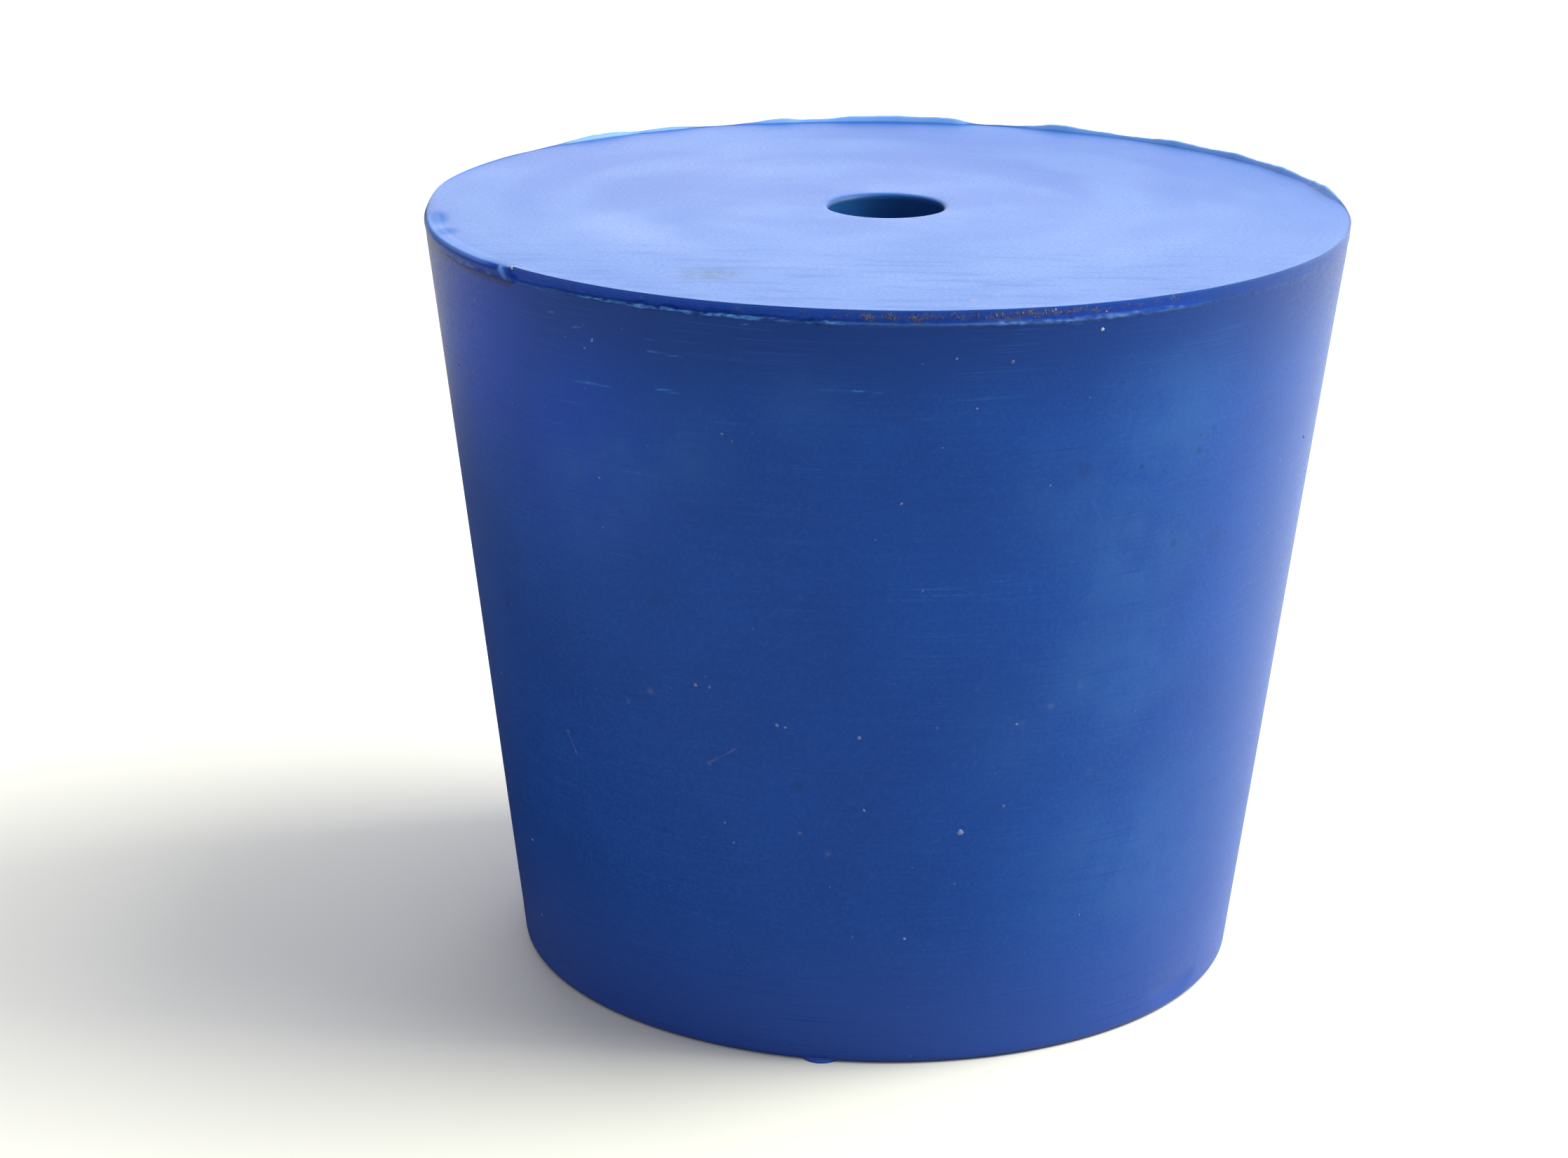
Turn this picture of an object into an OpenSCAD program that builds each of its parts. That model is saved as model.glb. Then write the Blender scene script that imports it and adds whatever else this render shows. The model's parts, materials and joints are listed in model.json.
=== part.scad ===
// One-hole laboratory stopper, moulded in one piece of solid rubber.
// It stands on its small end. Z runs along the hole, and the origin is the
// middle of the base. Angles run round Z from +X, and -90 is the front.
//
// The mould parts just under the large end. The rubber that squeezes out
// there is cut off by hand, so the rim has four marks of the knife: a band
// cut a little inwards, a torn ridge under it, a thin lip left standing on
// the back of the top edge, and a rolled bead at the left that was missed.

/* [Body] */
// Diameter across the top edge of the large end
top_d = 60; // [50:0.5:70]
// Diameter of the small end, where the line of the wall meets the base
base_d = 48; // [40:0.5:54]
// Height from the base to the flat face of the large end
height = 50; // [35:0.5:65]
// Radius on the edge of the base
base_edge_r = 0.5; // [0.2:0.1:1.5]

/* [Tube hole] */
// Diameter of the hole
bore_d = 7.5; // [5:0.1:12]
// Radius on both mouths of the hole
mouth_r = 0.4; // [0.2:0.1:1]

/* [Cut band] */
// Height of the band that the knife left under the top edge
band_h = 0.65; // [0.5:0.05:1.4]
// How far the foot of the band is cut in behind the top edge
band_undercut = 0.15; // [0.1:0.01:0.25]

/* [Torn ridge] */
// How far the ridge stands out from the wall
ridge_out = 0.16; // [0.1:0.01:0.3]
// Height of the ridge at its root
ridge_h = 0.35; // [0.2:0.05:0.5]
// Number of straight strokes that trimmed the ridge
ridge_strokes = 31; // [20:1:40]
// How far the strokes stray from even spacing, in degrees
ridge_stray = 2.5; // [0:0.5:4]
// Width of the widest tear in the ridge
tear_w = 1.2; // [0.6:0.1:2]

/* [Flash lip] */
// Tallest part of the lip that was left on the top edge
lip_h = 0.45; // [0.3:0.05:0.8]
// Thickness of the lip at its foot
lip_foot_t = 0.5; // [0.4:0.05:0.8]
// Thickness of the lip at its top
lip_top_t = 0.18; // [0.12:0.02:0.3]

/* [Rolled bead] */
// Radius of the bead's round section
bead_r = 0.45; // [0.4:0.05:0.7]
// How far the bead stands out past the top edge
bead_out = 0.2; // [0.15:0.05:0.4]
// Depth of the bead's top below the flat face
bead_drop = 0.05; // [0.03:0.01:0.1]

/* [Base marks] */
// Radius of the round scrap of flash on the base edge
scrap_r = 1.2; // [0.8:0.1:2]
// Thickness of that scrap
scrap_t = 0.2; // [0.1:0.05:0.4]
// How far the scrap stands out past the base diameter
scrap_out = 0.35; // [0.2:0.05:0.6]
// Depth of the shaving off the wall near the base
nick_depth = 0.12; // [0.05:0.01:0.25]
// Height of the middle of that shaving above the base
nick_z = 1; // [0.8:0.1:2]

/* [Hidden] */
$fn = 180;

rubber = [0.13, 0.28, 0.62];

top_r = top_d / 2;
base_r = base_d / 2;
bore_r = bore_d / 2;

// Slope of the wall: how much the radius grows over the height
taper = atan((top_r - base_r) / height);
function wall_r(z) = base_r + z * tan(taper);

// Heights along the rim, from the top down
band_z = height - band_h;
ridge_z = band_z - ridge_h * 2 / 3;
ridge_foot_z = band_z - ridge_h;

// Radius of the ridge before it is trimmed
ridge_r = wall_r(ridge_z) + ridge_out;

// A cutter runs this far past what it cuts
past = 1;

// Points on an arc round c, from angle a to angle b, in n steps
function arc(c, r, a, b, n) =
    [for (i = [0:n]) c + r * [cos(a + (b - a) * i / n), sin(a + (b - a) * i / n)]];

arc_steps = 6;

// Strokes of the knife across the lip, each a shallow round scoop: the angle
// of its lowest point, the share of the lip's height left there, and its
// radius. The small radius is where a piece of the lip tore out.
lip_strokes = [
    [146, 0.08, 60], [133, 0.72, 60], [125.5, 0.40, 22], [114, 0.08, 30],
    [100.5, 0.52, 22], [76.6, 0.12, 6], [73.5, 0.20, 18], [56, 0.50, 45],
    [41.5, 0.72, 35], [30, 0.65, 30], [19, 0.62, 45], [-2, 0.08, 60]
];

// The long even cut along the front: start, end and share that it left
front_cut = [147, 358, 0.14];

// What the strokes along the ridge leave of it: the middle share, and how far
// a stroke's own share may lie from that. The two turns scatter the strokes'
// places and depths without a pattern that the eye can follow.
ridge_left = 0.4;
ridge_left_spread = 0.25;
place_turn = 137;
depth_turn = 97;

// Tears in the ridge: angle, and share of the widest tear's width
tears = [
    [-129, 0.6], [-124, 1.0], [-120, 0.5], [-116, 0.8], [-112, 1.0], [-107, 0.7],
    [-99, 0.5], [-86, 0.6], [-70, 0.5], [-58, 0.9], [35, 0.7], [88, 1.0], [140, 0.6]
];
// A tear leaves this much of the ridge standing
tear_floor = ridge_out / 5;

// The bead follows a ring of this share of the rim's radius, set off centre,
// so it comes out of the rim and goes back into it without a step
bead_ring_share = 0.85;
// Angle of the bead's middle, how far it reaches to either side of that
// round its own ring, and the angle at which it is torn off
bead_at = -154;
bead_reach = 30;
bead_end = -138;

// Places of the two marks at the base
scrap_at = -98;
nick_at = -36;
// Height, width and lean of the blade's part that took the shaving
nick_blade_h = 1.4;
nick_blade_w = base_r / 2;
nick_lean = 4;

// Half of the section, from the base mouth of the hole round to the base
module section() {
    edge_x = base_r + base_edge_r * tan(taper) - base_edge_r / cos(taper);
    mouth_x = bore_r + mouth_r;
    band_lean = band_undercut / band_h;
    polygon(concat(
        arc([mouth_x, mouth_r], mouth_r, 270, 180, arc_steps),
        arc([mouth_x, height - mouth_r], mouth_r, 180, 90, arc_steps),
        [
            [top_r - lip_foot_t, height],
            [top_r - lip_top_t, height + lip_h],
            [top_r + lip_h * band_lean, height + lip_h],
            [top_r - band_undercut, band_z],
            [ridge_r, ridge_z],
            [wall_r(ridge_foot_z), ridge_foot_z]
        ],
        arc([edge_x, base_edge_r], base_edge_r, -taper, -90, arc_steps)
    ));
}

// The stopper as it leaves the mould, with the flash still whole all round
module moulding() {
    rotate_extrude() section();
}

// What the knife took off the lip
module lip_trim() {
    reach = lip_foot_t + 2 * past;
    for (stroke = lip_strokes) {
        floor_z = height + lip_h * stroke[1];
        rotate([0, 0, stroke[0]])
            translate([top_r - lip_foot_t - past, 0, floor_z + stroke[2]])
                rotate([0, 90, 0])
                    cylinder(r = stroke[2], h = reach);
    }
    rotate([0, 0, front_cut[0]])
        rotate_extrude(angle = front_cut[1] - front_cut[0])
            translate([top_r - lip_foot_t - past, height + lip_h * front_cut[2]])
                square([reach, lip_h + past]);
}

// Straight strokes along the ridge, each flat and at its own depth
module ridge_trim() {
    run = 2 * ridge_r * sin(360 / ridge_strokes);
    for (i = [0:ridge_strokes - 1]) {
        at = i * 360 / ridge_strokes + ridge_stray * sin(i * place_turn);
        left = ridge_out * (ridge_left + ridge_left_spread * sin(i * depth_turn));
        rotate([0, 0, at])
            translate([wall_r(ridge_z) + left, -run / 2, ridge_foot_z])
                cube([past, run, ridge_h]);
    }
}

// Small round bites where the ridge tore instead of being cut
module ridge_tears() {
    for (t = tears) {
        w = tear_w * t[1];
        rotate([0, 0, t[0]])
            translate([wall_r(ridge_z) + tear_floor, 0, band_z])
                rotate([0, 90, 0])
                    scale([ridge_h / w, 1, 1])
                        cylinder(d = w, h = past, $fn = 24);
    }
}

// The bead at the left, as flash that rolled over the band
module bead() {
    ring_r = top_r * bead_ring_share;
    off = top_r + bead_out - bead_r - ring_r;
    translate([off * cos(bead_at), off * sin(bead_at), 0])
        rotate([0, 0, bead_at - bead_reach])
            rotate_extrude(angle = 2 * bead_reach)
                translate([ring_r, height - bead_drop - bead_r])
                    circle(r = bead_r, $fn = 48);
}

// Takes what stands out past the torn end of the bead
module bead_tear() {
    rotate([0, 0, bead_end])
        rotate_extrude(angle = bead_reach)
            translate([top_r - lip_foot_t, height - 2 * bead_r - past])
                square([lip_foot_t + past, 2 * bead_r + 2 * past]);
}

module base_scrap() {
    rotate([0, 0, scrap_at])
        translate([base_r + scrap_out - scrap_r, 0, 0])
            cylinder(r = scrap_r, h = scrap_t, $fn = 48);
}

module base_nick() {
    rotate([0, 0, nick_at])
        translate([wall_r(nick_z) - nick_depth, 0, nick_z])
            rotate([0, taper - nick_lean, 0])
                translate([0, -nick_blade_w / 2, -nick_blade_h / 2])
                    cube([past, nick_blade_w, nick_blade_h]);
}

module stopper() {
    color(rubber) {
        difference() {
            moulding();
            lip_trim();
            ridge_trim();
            ridge_tears();
            base_nick();
        }
        difference() {
            bead();
            bead_tear();
        }
        base_scrap();
    }
}

stopper();
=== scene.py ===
# %% [markdown]
# # A blue rubber stopper
#
# This stopper closes the neck of a laboratory flask. It is one piece of solid
# moulded rubber: a cone with a flat face at each end and a hole down its
# middle for a glass tube. What makes it look real is its rim. The rubber that
# squeezed out of the mould there was trimmed by hand, and the knife left a
# clean band, a torn ridge, a thin wavy lip and one bead that it missed.
#
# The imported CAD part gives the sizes. Everything below is worked out in
# millimetres and turned into metres when a mesh is made.

# %% Load the fixed frame
import json
import math

import bpy
import numpy as np
from mathutils import Matrix, Vector

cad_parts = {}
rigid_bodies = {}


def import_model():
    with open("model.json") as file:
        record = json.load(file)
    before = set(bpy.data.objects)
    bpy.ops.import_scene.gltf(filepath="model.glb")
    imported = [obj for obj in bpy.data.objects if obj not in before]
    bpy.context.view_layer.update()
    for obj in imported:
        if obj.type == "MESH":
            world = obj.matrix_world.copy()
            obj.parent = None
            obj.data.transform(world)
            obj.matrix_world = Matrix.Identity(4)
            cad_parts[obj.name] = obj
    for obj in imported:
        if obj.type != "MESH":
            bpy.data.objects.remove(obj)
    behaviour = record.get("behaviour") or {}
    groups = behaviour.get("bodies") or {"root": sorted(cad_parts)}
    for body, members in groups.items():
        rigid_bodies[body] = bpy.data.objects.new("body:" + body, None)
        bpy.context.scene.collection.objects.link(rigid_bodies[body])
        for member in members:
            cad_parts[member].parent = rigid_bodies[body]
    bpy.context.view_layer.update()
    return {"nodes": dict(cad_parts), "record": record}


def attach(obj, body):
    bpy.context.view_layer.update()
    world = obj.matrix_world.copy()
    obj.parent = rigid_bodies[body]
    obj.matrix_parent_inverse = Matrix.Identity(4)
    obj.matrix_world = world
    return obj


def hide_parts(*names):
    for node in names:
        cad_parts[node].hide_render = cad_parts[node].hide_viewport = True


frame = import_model()

MM = 0.001

# %% [markdown]
# ## Sizes
#
# The numbers could be typed in again, but then the looks and the CAD part
# might drift apart. It is safer to read them off. The hole is in the record,
# as a mount. The wall is a straight cone, so a line fitted to the points on it
# gives the radius at both ends.

# %% Read the sizes off the CAD part
cad_mesh = frame["nodes"]["stopper"].data
cad_points = np.empty((len(cad_mesh.vertices), 3), np.float32)
cad_mesh.vertices.foreach_get("co", cad_points.ravel())
cad_radius = np.hypot(cad_points[:, 0], cad_points[:, 1]) / MM
cad_angle = np.degrees(np.arctan2(cad_points[:, 1], cad_points[:, 0]))
cad_z = cad_points[:, 2] / MM

bore = next(m for m in frame["record"]["mounts"] if m["name"] == "tube_bore")
BORE_R = bore["dims"]["r_mm"]
HEIGHT = 2 * bore["pos_m"][2] / MM

on_wall = (cad_radius > 2 * BORE_R) & (cad_z > 0.1 * HEIGHT) & (cad_z < 0.9 * HEIGHT)
SLOPE, BASE_R = np.polyfit(cad_z[on_wall], cad_radius[on_wall], 1)
TOP_R = BASE_R + SLOPE * HEIGHT


def wall_r(z):
    """Radius of the cone at height z: the base radius plus the slope times z."""
    return BASE_R + SLOPE * z


print(f"height {HEIGHT:.2f}, top radius {TOP_R:.3f}, base radius {BASE_R:.3f}")

# %% [markdown]
# ## Camera
#
# A long lens from about a quarter of a metre away, looking down by some 17
# degrees, shows the flat top as a wide ellipse and the wall below it. A camera
# in Blender looks along its own -Z, so it is first tipped up to the horizon
# and then turned.

# %% Place the camera


def put(name, data):
    """A new object with this data, in the scene."""
    thing = bpy.data.objects.new(name, data)
    bpy.context.scene.collection.objects.link(thing)
    return thing


CAMERA_AT = Vector((0, -232.9, 97.94)) * MM
TURN_LEFT = math.radians(1.584)
LOOK_DOWN = math.radians(17.53)
ROLL = math.radians(0.468)
LENS_MM = 83.36
SENSOR_MM = 36

camera_data = bpy.data.cameras.new("camera")
camera_data.lens = LENS_MM
camera_data.sensor_width = SENSOR_MM
camera_data.clip_start = 0.01
camera_data.clip_end = 10
camera = put("camera", camera_data)
camera.matrix_world = (
    Matrix.Translation(CAMERA_AT)
    @ Matrix.Rotation(TURN_LEFT, 4, "Z")
    @ Matrix.Rotation(math.pi / 2 - LOOK_DOWN, 4, "X")
    @ Matrix.Rotation(ROLL, 4, "Z")
)
bpy.context.scene.camera = camera
bpy.context.scene.view_settings.view_transform = "Standard"
print("camera at", [round(v / MM, 1) for v in CAMERA_AT], "lens", LENS_MM)

# %% [markdown]
# ## Material helpers
#
# Every finish below is a small graph of nodes, and most of it is masks:
# numbers from 0 to 1 that say where something shows. The helpers add a node
# and set or link its inputs, turn any value into a mask, multiply masks, and
# lay one colour over another where a mask is 1. A finish is then painted as a
# list of layers, as with real paint.

# %% Nodes and masks


def add(tree, kind, settings=None, **inputs):
    """Adds a node. Each input is a value to set or a socket to link from."""
    node = tree.nodes.new("ShaderNode" + kind)
    for key, value in (settings or {}).items():
        setattr(node, key, value)
    for key, value in inputs.items():
        name = key.replace("_", " ")
        socket = node.inputs[int(key[1:])] if key[1:].isdigit() else node.inputs[name]
        if isinstance(value, bpy.types.NodeSocket):
            tree.links.new(value, socket)
        else:
            socket.default_value = value
    return node


def math_node(tree, operation, *values):
    """A Math node's result, with its inputs in order."""
    inputs = {f"i{n}": value for n, value in enumerate(values)}
    return add(tree, "Math", {"operation": operation}, **inputs).outputs[0]


def both(tree, *masks):
    """The product of masks and numbers."""
    result = masks[0]
    for mask in masks[1:]:
        result = math_node(tree, "MULTIPLY", result, mask)
    return result


def strongest(tree, masks):
    """The greatest of many masks."""
    result = masks[0]
    for mask in masks[1:]:
        result = math_node(tree, "MAXIMUM", result, mask)
    return result


def ramp(tree, value, low, high, to_low=0.0, to_high=1.0):
    """A smooth step: value runs from low to high, the result from to_low to to_high."""
    ends = {"From_Min": low, "From_Max": high, "To_Min": to_low, "To_Max": to_high}
    smooth = {"interpolation_type": "SMOOTHSTEP"}
    return add(tree, "MapRange", smooth, Value=value, **ends).outputs[0]


print("masks ready")

# %% Colours laid over each other


def blend(tree, mask, under, over):
    """The colour under, covered by the colour over where the mask is 1."""
    node = tree.nodes.new("ShaderNodeMix")
    node.data_type = "RGBA"
    for value, socket in ((mask, 0), (under, 6), (over, 7)):
        if isinstance(value, bpy.types.NodeSocket):
            tree.links.new(value, node.inputs[socket])
        else:
            node.inputs[socket].default_value = value
    return node.outputs[2]


def paint(tree, colour, layers):
    """The colour under a pile of layers, each a mask and the colour it lays on."""
    for mask, over in layers:
        colour = blend(tree, mask, colour, over)
    return colour


def new_material(name):
    """A material with a Principled shader. Returns it, its tree and the shader."""
    material = bpy.data.materials.new(name)
    material.use_nodes = True
    tree = material.node_tree
    return material, tree, tree.nodes["Principled BSDF"]


print("layers ready")

# %% [markdown]
# ## Light
#
# Rubber is dull, so it shows where the light comes from mostly by its shade.
# Here a wide white softbox hangs behind and above the stopper, and the flat
# top mirrors it. Two creamy ones hang at the right, one of them higher up, and
# a small one behind them lights the right edge of the wall. The front gets
# only what the room gives back. The lamps are area lamps, aimed by turning
# their own -Z to the middle of the stopper.

# %% Make the lamps
AIM = Vector((0, 0, 0.5 * HEIGHT)) * MM
WARM_WHITE = (1.0, 1.0, 0.88)
LAMP_CREAM = (1.0, 1.0, 0.76)


def softbox(name, place, size, power, colour=(1, 1, 1)):
    """An area lamp of size (width, height) in metres at place, facing AIM."""
    data = bpy.data.lights.new(name, "AREA")
    data.shape = "RECTANGLE"
    data.size, data.size_y = size
    data.energy = power
    data.color = colour
    lamp = put(name, data)
    lamp.location = place
    lamp.rotation_euler = (AIM - Vector(place)).to_track_quat("-Z", "Y").to_euler()
    print(f"{name}: {power} W at {place}")


softbox("back_softbox", (0.0, 0.779, 0.475), (0.8, 0.8), 3.7)
softbox("right_softbox", (0.69, 0.06, 0.60), (0.5, 0.5), 7.4, LAMP_CREAM)
softbox("high_right_softbox", (0.516, 0.0, 0.762), (0.6, 0.6), 5.6, WARM_WHITE)
softbox("far_right_softbox", (0.65, 0.54, 0.33), (0.4, 0.5), 1.5, LAMP_CREAM)

# %% [markdown]
# The room is a world shader with three answers. The camera sees plain white.
# Light that bounces off dull surfaces gets an even grey fill. Rays that a
# glossy surface sends out see a white backdrop behind the stopper and at its
# right, which fades towards the dim side of the room where the camera stands.
# The fade is the dot product of the ray's direction and the backdrop's.

# %% Fill the room
ROOM_FILL = 0.49
BACKDROP = (1.6, 1.05, 0.0)

world = bpy.data.worlds.new("room")
bpy.context.scene.world = world
world.use_nodes = True
room = world.node_tree
room.nodes.clear()
direction = add(room, "TexCoord").outputs["Generated"]
facing = add(room, "VectorMath", {"operation": "DOT_PRODUCT"}, i0=direction, i1=BACKDROP)
backdrop = add(room, "Clamp", Value=facing.outputs["Value"]).outputs[0]
ray = add(room, "LightPath")
mirrored = math_node(
    room, "MAXIMUM", ray.outputs["Is Glossy Ray"], ray.outputs["Is Transmission Ray"]
)
fill = add(room, "Background", Strength=ROOM_FILL)
white = add(room, "Background", Strength=1.0)
reflected = add(room, "Background", Strength=backdrop)
for shade in (fill, white, reflected):
    shade.inputs["Color"].default_value = (1, 1, 1, 1)
lit = add(room, "MixShader", i0=mirrored, i1=fill.outputs[0], i2=reflected.outputs[0])
camera_ray = ray.outputs["Is Camera Ray"]
seen = add(room, "MixShader", i0=camera_ray, i1=lit.outputs[0], i2=white.outputs[0])
add(room, "OutputWorld", Surface=seen.outputs[0])
print("room fill", ROOM_FILL)

# %% [markdown]
# ## Table top
#
# The stopper stands on a plain pale surface that keeps its shadow. One large
# disc does it. To light that bounces it is a mid grey, so that it doesn't
# throw more light up the wall than a real table would. The wall mirrors it
# too, and on a table that mirror image is darker where the stopper's own
# shadow lies, behind it and to the left. A soft round patch stands for that.

# %% Make the table top
FLOOR_R = 2.5
FLOOR_SIDES = 96
FLOOR_SEEN = 0.8
FLOOR_BOUNCE = 0.35
FLOOR_MIRRORED = 0.95
SHADE_AT = (-0.052, 0.052, 0)
SHADE_R = 0.115
SHADE_DARK = 0.04


def grey(level):
    """A neutral colour."""
    return (level, level, level, 1)


def floor_material():
    """Pale to the camera, mid grey to light that bounces, and to mirrors pale
    with a dark patch round SHADE_AT."""
    material, tree, shader = new_material("table_top")
    ray = add(tree, "LightPath")
    place = add(tree, "TexCoord").outputs["Object"]
    from_shade = add(tree, "VectorMath", {"operation": "DISTANCE"}, i0=place, i1=SHADE_AT)
    shade = ramp(tree, from_shade.outputs["Value"], SHADE_R, 0.4 * SHADE_R)
    mirrored = blend(tree, shade, grey(FLOOR_MIRRORED), grey(SHADE_DARK))
    colour = blend(tree, ray.outputs["Is Glossy Ray"], grey(FLOOR_BOUNCE), mirrored)
    colour = blend(tree, ray.outputs["Is Camera Ray"], colour, grey(FLOOR_SEEN))
    tree.links.new(colour, shader.inputs["Base Color"])
    shader.inputs["Roughness"].default_value = 0.9
    shader.inputs["Specular IOR Level"].default_value = 0.1
    return material


turn = np.linspace(0, 2 * np.pi, FLOOR_SIDES, endpoint=False)
rim = FLOOR_R * np.stack([np.cos(turn), np.sin(turn), np.zeros(FLOOR_SIDES)], 1)
floor_mesh = bpy.data.meshes.new("table_top")
floor_mesh.from_pydata(rim.tolist(), [], [list(range(FLOOR_SIDES))])
floor_mesh.materials.append(floor_material())
floor = put("table_top", floor_mesh)
print("table top", FLOOR_R, "m in radius")

# %% [markdown]
# ## The surface as one grid
#
# A stopper is a surface of revolution, so one section line, carried round the
# axis, gives the whole skin. The line starts on the wall, goes up and over the
# rim, across the top, down the hole and back along the base to where it began.
# Every ring of points is then an array, and the mesh is a stack of rings that
# closes on itself both ways.
#
# The rim needs points every tenth of a millimetre and the rest doesn't, so
# there are two kinds of rings. The rim's rings have four times the points of
# the others, and where the two meet, each face takes in four short edges on
# one side and one long edge on the other.

# %% Set up the rings
COARSE = 540
FINER = 4
FINE = COARSE * FINER
RIM_ROWS = 30


def turns(count):
    """Angles round the axis in degrees, from -180 up, measured from +X."""
    return np.arange(count) * 360 / count - 180


def ring_points(radius, z, count):
    """Points (rows, count, 3) of rings with these radii and heights."""
    angle = np.radians(turns(count))
    radius = np.broadcast_to(radius, (len(radius), count))
    z = np.broadcast_to(z, (len(z), count))
    return np.stack([radius * np.cos(angle), radius * np.sin(angle), z], -1)


def stack_faces(first, rows, count):
    """Quads between neighbouring rings: point j and j+1 of one ring, then the
    same two of the next, wrapping round at the end of a ring."""
    row, j = np.meshgrid(np.arange(rows - 1), np.arange(count), indexing="ij")
    here = first + row * count + j
    beside = first + row * count + (j + 1) % count
    return np.stack([here, beside, beside + count, here + count], -1).reshape(-1, 4)


def seam_faces(coarse_start, fine_start, fine_on_top):
    """Faces that join a coarse ring to a fine one: one long edge against the
    FINER short ones beside it."""
    j = np.arange(COARSE)
    long_edge = [coarse_start + j, coarse_start + (j + 1) % COARSE]
    short = [fine_start + (FINER * j + k) % FINE for k in range(FINER + 1)]
    corners = long_edge + short[::-1] if fine_on_top else short + long_edge[::-1]
    return np.stack(corners, -1)


print("rings of", COARSE, "and", FINE, "points")

# %% [markdown]
# ## Rough edges
#
# Cut and torn rubber is uneven at every size. Random numbers alone would be
# spikes, so the noise here is random numbers blurred to the width of a real
# tear. Blurring in the Fourier domain makes the noise run round the ring
# without a seam.

# %% Noise that closes round a ring


def ring_noise(rows, count, seed, tall, wide):
    """Random numbers blurred by a Gaussian, tall rows high and wide points
    long, and scaled so that their spread is 1."""
    field = np.random.default_rng(seed).standard_normal((rows, count))
    up = np.fft.fftfreq(rows)[:, None] * tall
    along = np.fft.fftfreq(count)[None, :] * wide
    blurred = np.fft.fft2(field) * np.exp(-2 * np.pi**2 * (up**2 + along**2))
    field = np.fft.ifft2(blurred).real
    return field / field.std()


def smooth_step(x, low, high):
    """0 below low, 1 above high, and 3t^2 - 2t^3 between them."""
    t = np.clip((x - low) / (high - low), 0, 1)
    return t * t * (3 - 2 * t)


def window(x, low, high, edge):
    """1 between low and high, and 0 outside, with soft edges this wide."""
    return smooth_step(x, low - edge, low) * (1 - smooth_step(x, high, high + edge))


print("noise check, spread:", round(float(ring_noise(8, FINE, 1, 1, 4).std()), 3))

# %% [markdown]
# ## The skyline of the lip
#
# On the back of the rim the knife left a thin lip of flash, with a wavy top.
# The waves are scoops of the blade, and they are in the CAD part, so the crest
# is measured there: the highest point of the CAD part in each narrow slice
# round the rim. A little noise gives the edge its torn look.

# %% Measure the lip's crest
LIP_SLICES = 720
LIP_W = 0.6
LIP_LEAST = 0.02
CREST_ROUGH = 0.012
# The measured crest is blurred by a bell this many points wide, cut off at its foot
BELL_W, BELL_END = 5, 12

on_lip = (cad_z > HEIGHT + 0.01) & (cad_radius > TOP_R - LIP_W)
slice_of = ((cad_angle[on_lip] + 180) / 360 * LIP_SLICES).astype(int) % LIP_SLICES
crest = np.zeros(LIP_SLICES)
np.maximum.at(crest, slice_of, cad_z[on_lip] - HEIGHT)
filled = crest > 0
fine_turns = turns(FINE)
lip_height = np.interp(
    fine_turns,
    turns(LIP_SLICES)[filled] + 180 / LIP_SLICES,
    crest[filled],
    period=360,
)
bell = np.exp(-0.5 * (np.arange(-BELL_END, BELL_END + 1) / BELL_W) ** 2)
lip_height = np.convolve(np.pad(lip_height, BELL_END, "wrap"), bell / bell.sum(), "valid")
crest_noise = ring_noise(1, FINE, 11, 1, 5)[0] + 0.6 * ring_noise(1, FINE, 12, 1, 2)[0]
lip_height += CREST_ROUGH * crest_noise * smooth_step(lip_height, 0.03, 0.2)
lip_height = np.maximum(lip_height, LIP_LEAST)
print(f"lip from {lip_height.min():.2f} to {lip_height.max():.2f} mm high")

# %% [markdown]
# ## The rim's section
#
# Seen in section, the rim has corners: the foot of the torn ridge, its crest,
# the foot of the cut band, the crest of the lip and the foot of the lip. A
# chain of straight lines would be too sharp for rubber. A quadratic B-spline
# uses the corners as control points and rounds each one off. The control
# points change with the angle, so the section is one array of control points
# for every angle, and the spline's weights are the same matrix for all.

# %% Spline weights


def spline_weights(controls, samples):
    """Weights (samples, controls) of a uniform quadratic B-spline: in each
    span the three points count (1-t)^2/2, (1+2t-2t^2)/2 and t^2/2."""
    place = np.linspace(0, controls - 2, samples, endpoint=False)
    span = place.astype(int)
    t = place - span
    weights = np.zeros((samples, controls))
    rows = np.arange(samples)
    weights[rows, span] = (1 - t) ** 2 / 2
    weights[rows, span + 1] = (1 + 2 * t - 2 * t**2) / 2
    weights[rows, span + 2] = t**2 / 2
    return weights


CONTROLS = 14
weights = spline_weights(CONTROLS, RIM_ROWS)
print("weights of each row add up to", weights.sum(1).round(6).min())

# %% [markdown]
# The ridge is what the knife left of the flash under the band. At the front it
# is torn and stands out most, and at the left it fades away. The values below
# say how far it stands out at a few angles, and the rest lies on a line
# through them.

# %% Set the band, the ridge and the lip
BAND_H = 0.65
BAND_IN = 0.15
RIDGE_H = 0.35
# Thickness of the lip at its crest and at its foot, from where it was cut
# flush to where it stands tall
CREST_W = (0.07, 0.18)
FOOT_W = (0.16, 0.50)

# Along this stretch the knife ran a little higher
HIGH_CUT = (-128, -80, 10)
HIGH_CUT_BY = 0.1
# Along this stretch it was held upright and cut in only a little
UPRIGHT_CUT = (-46, 5, 12)
UPRIGHT_LEFT = 0.4
UPRIGHT_DULL = 0.9

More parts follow.
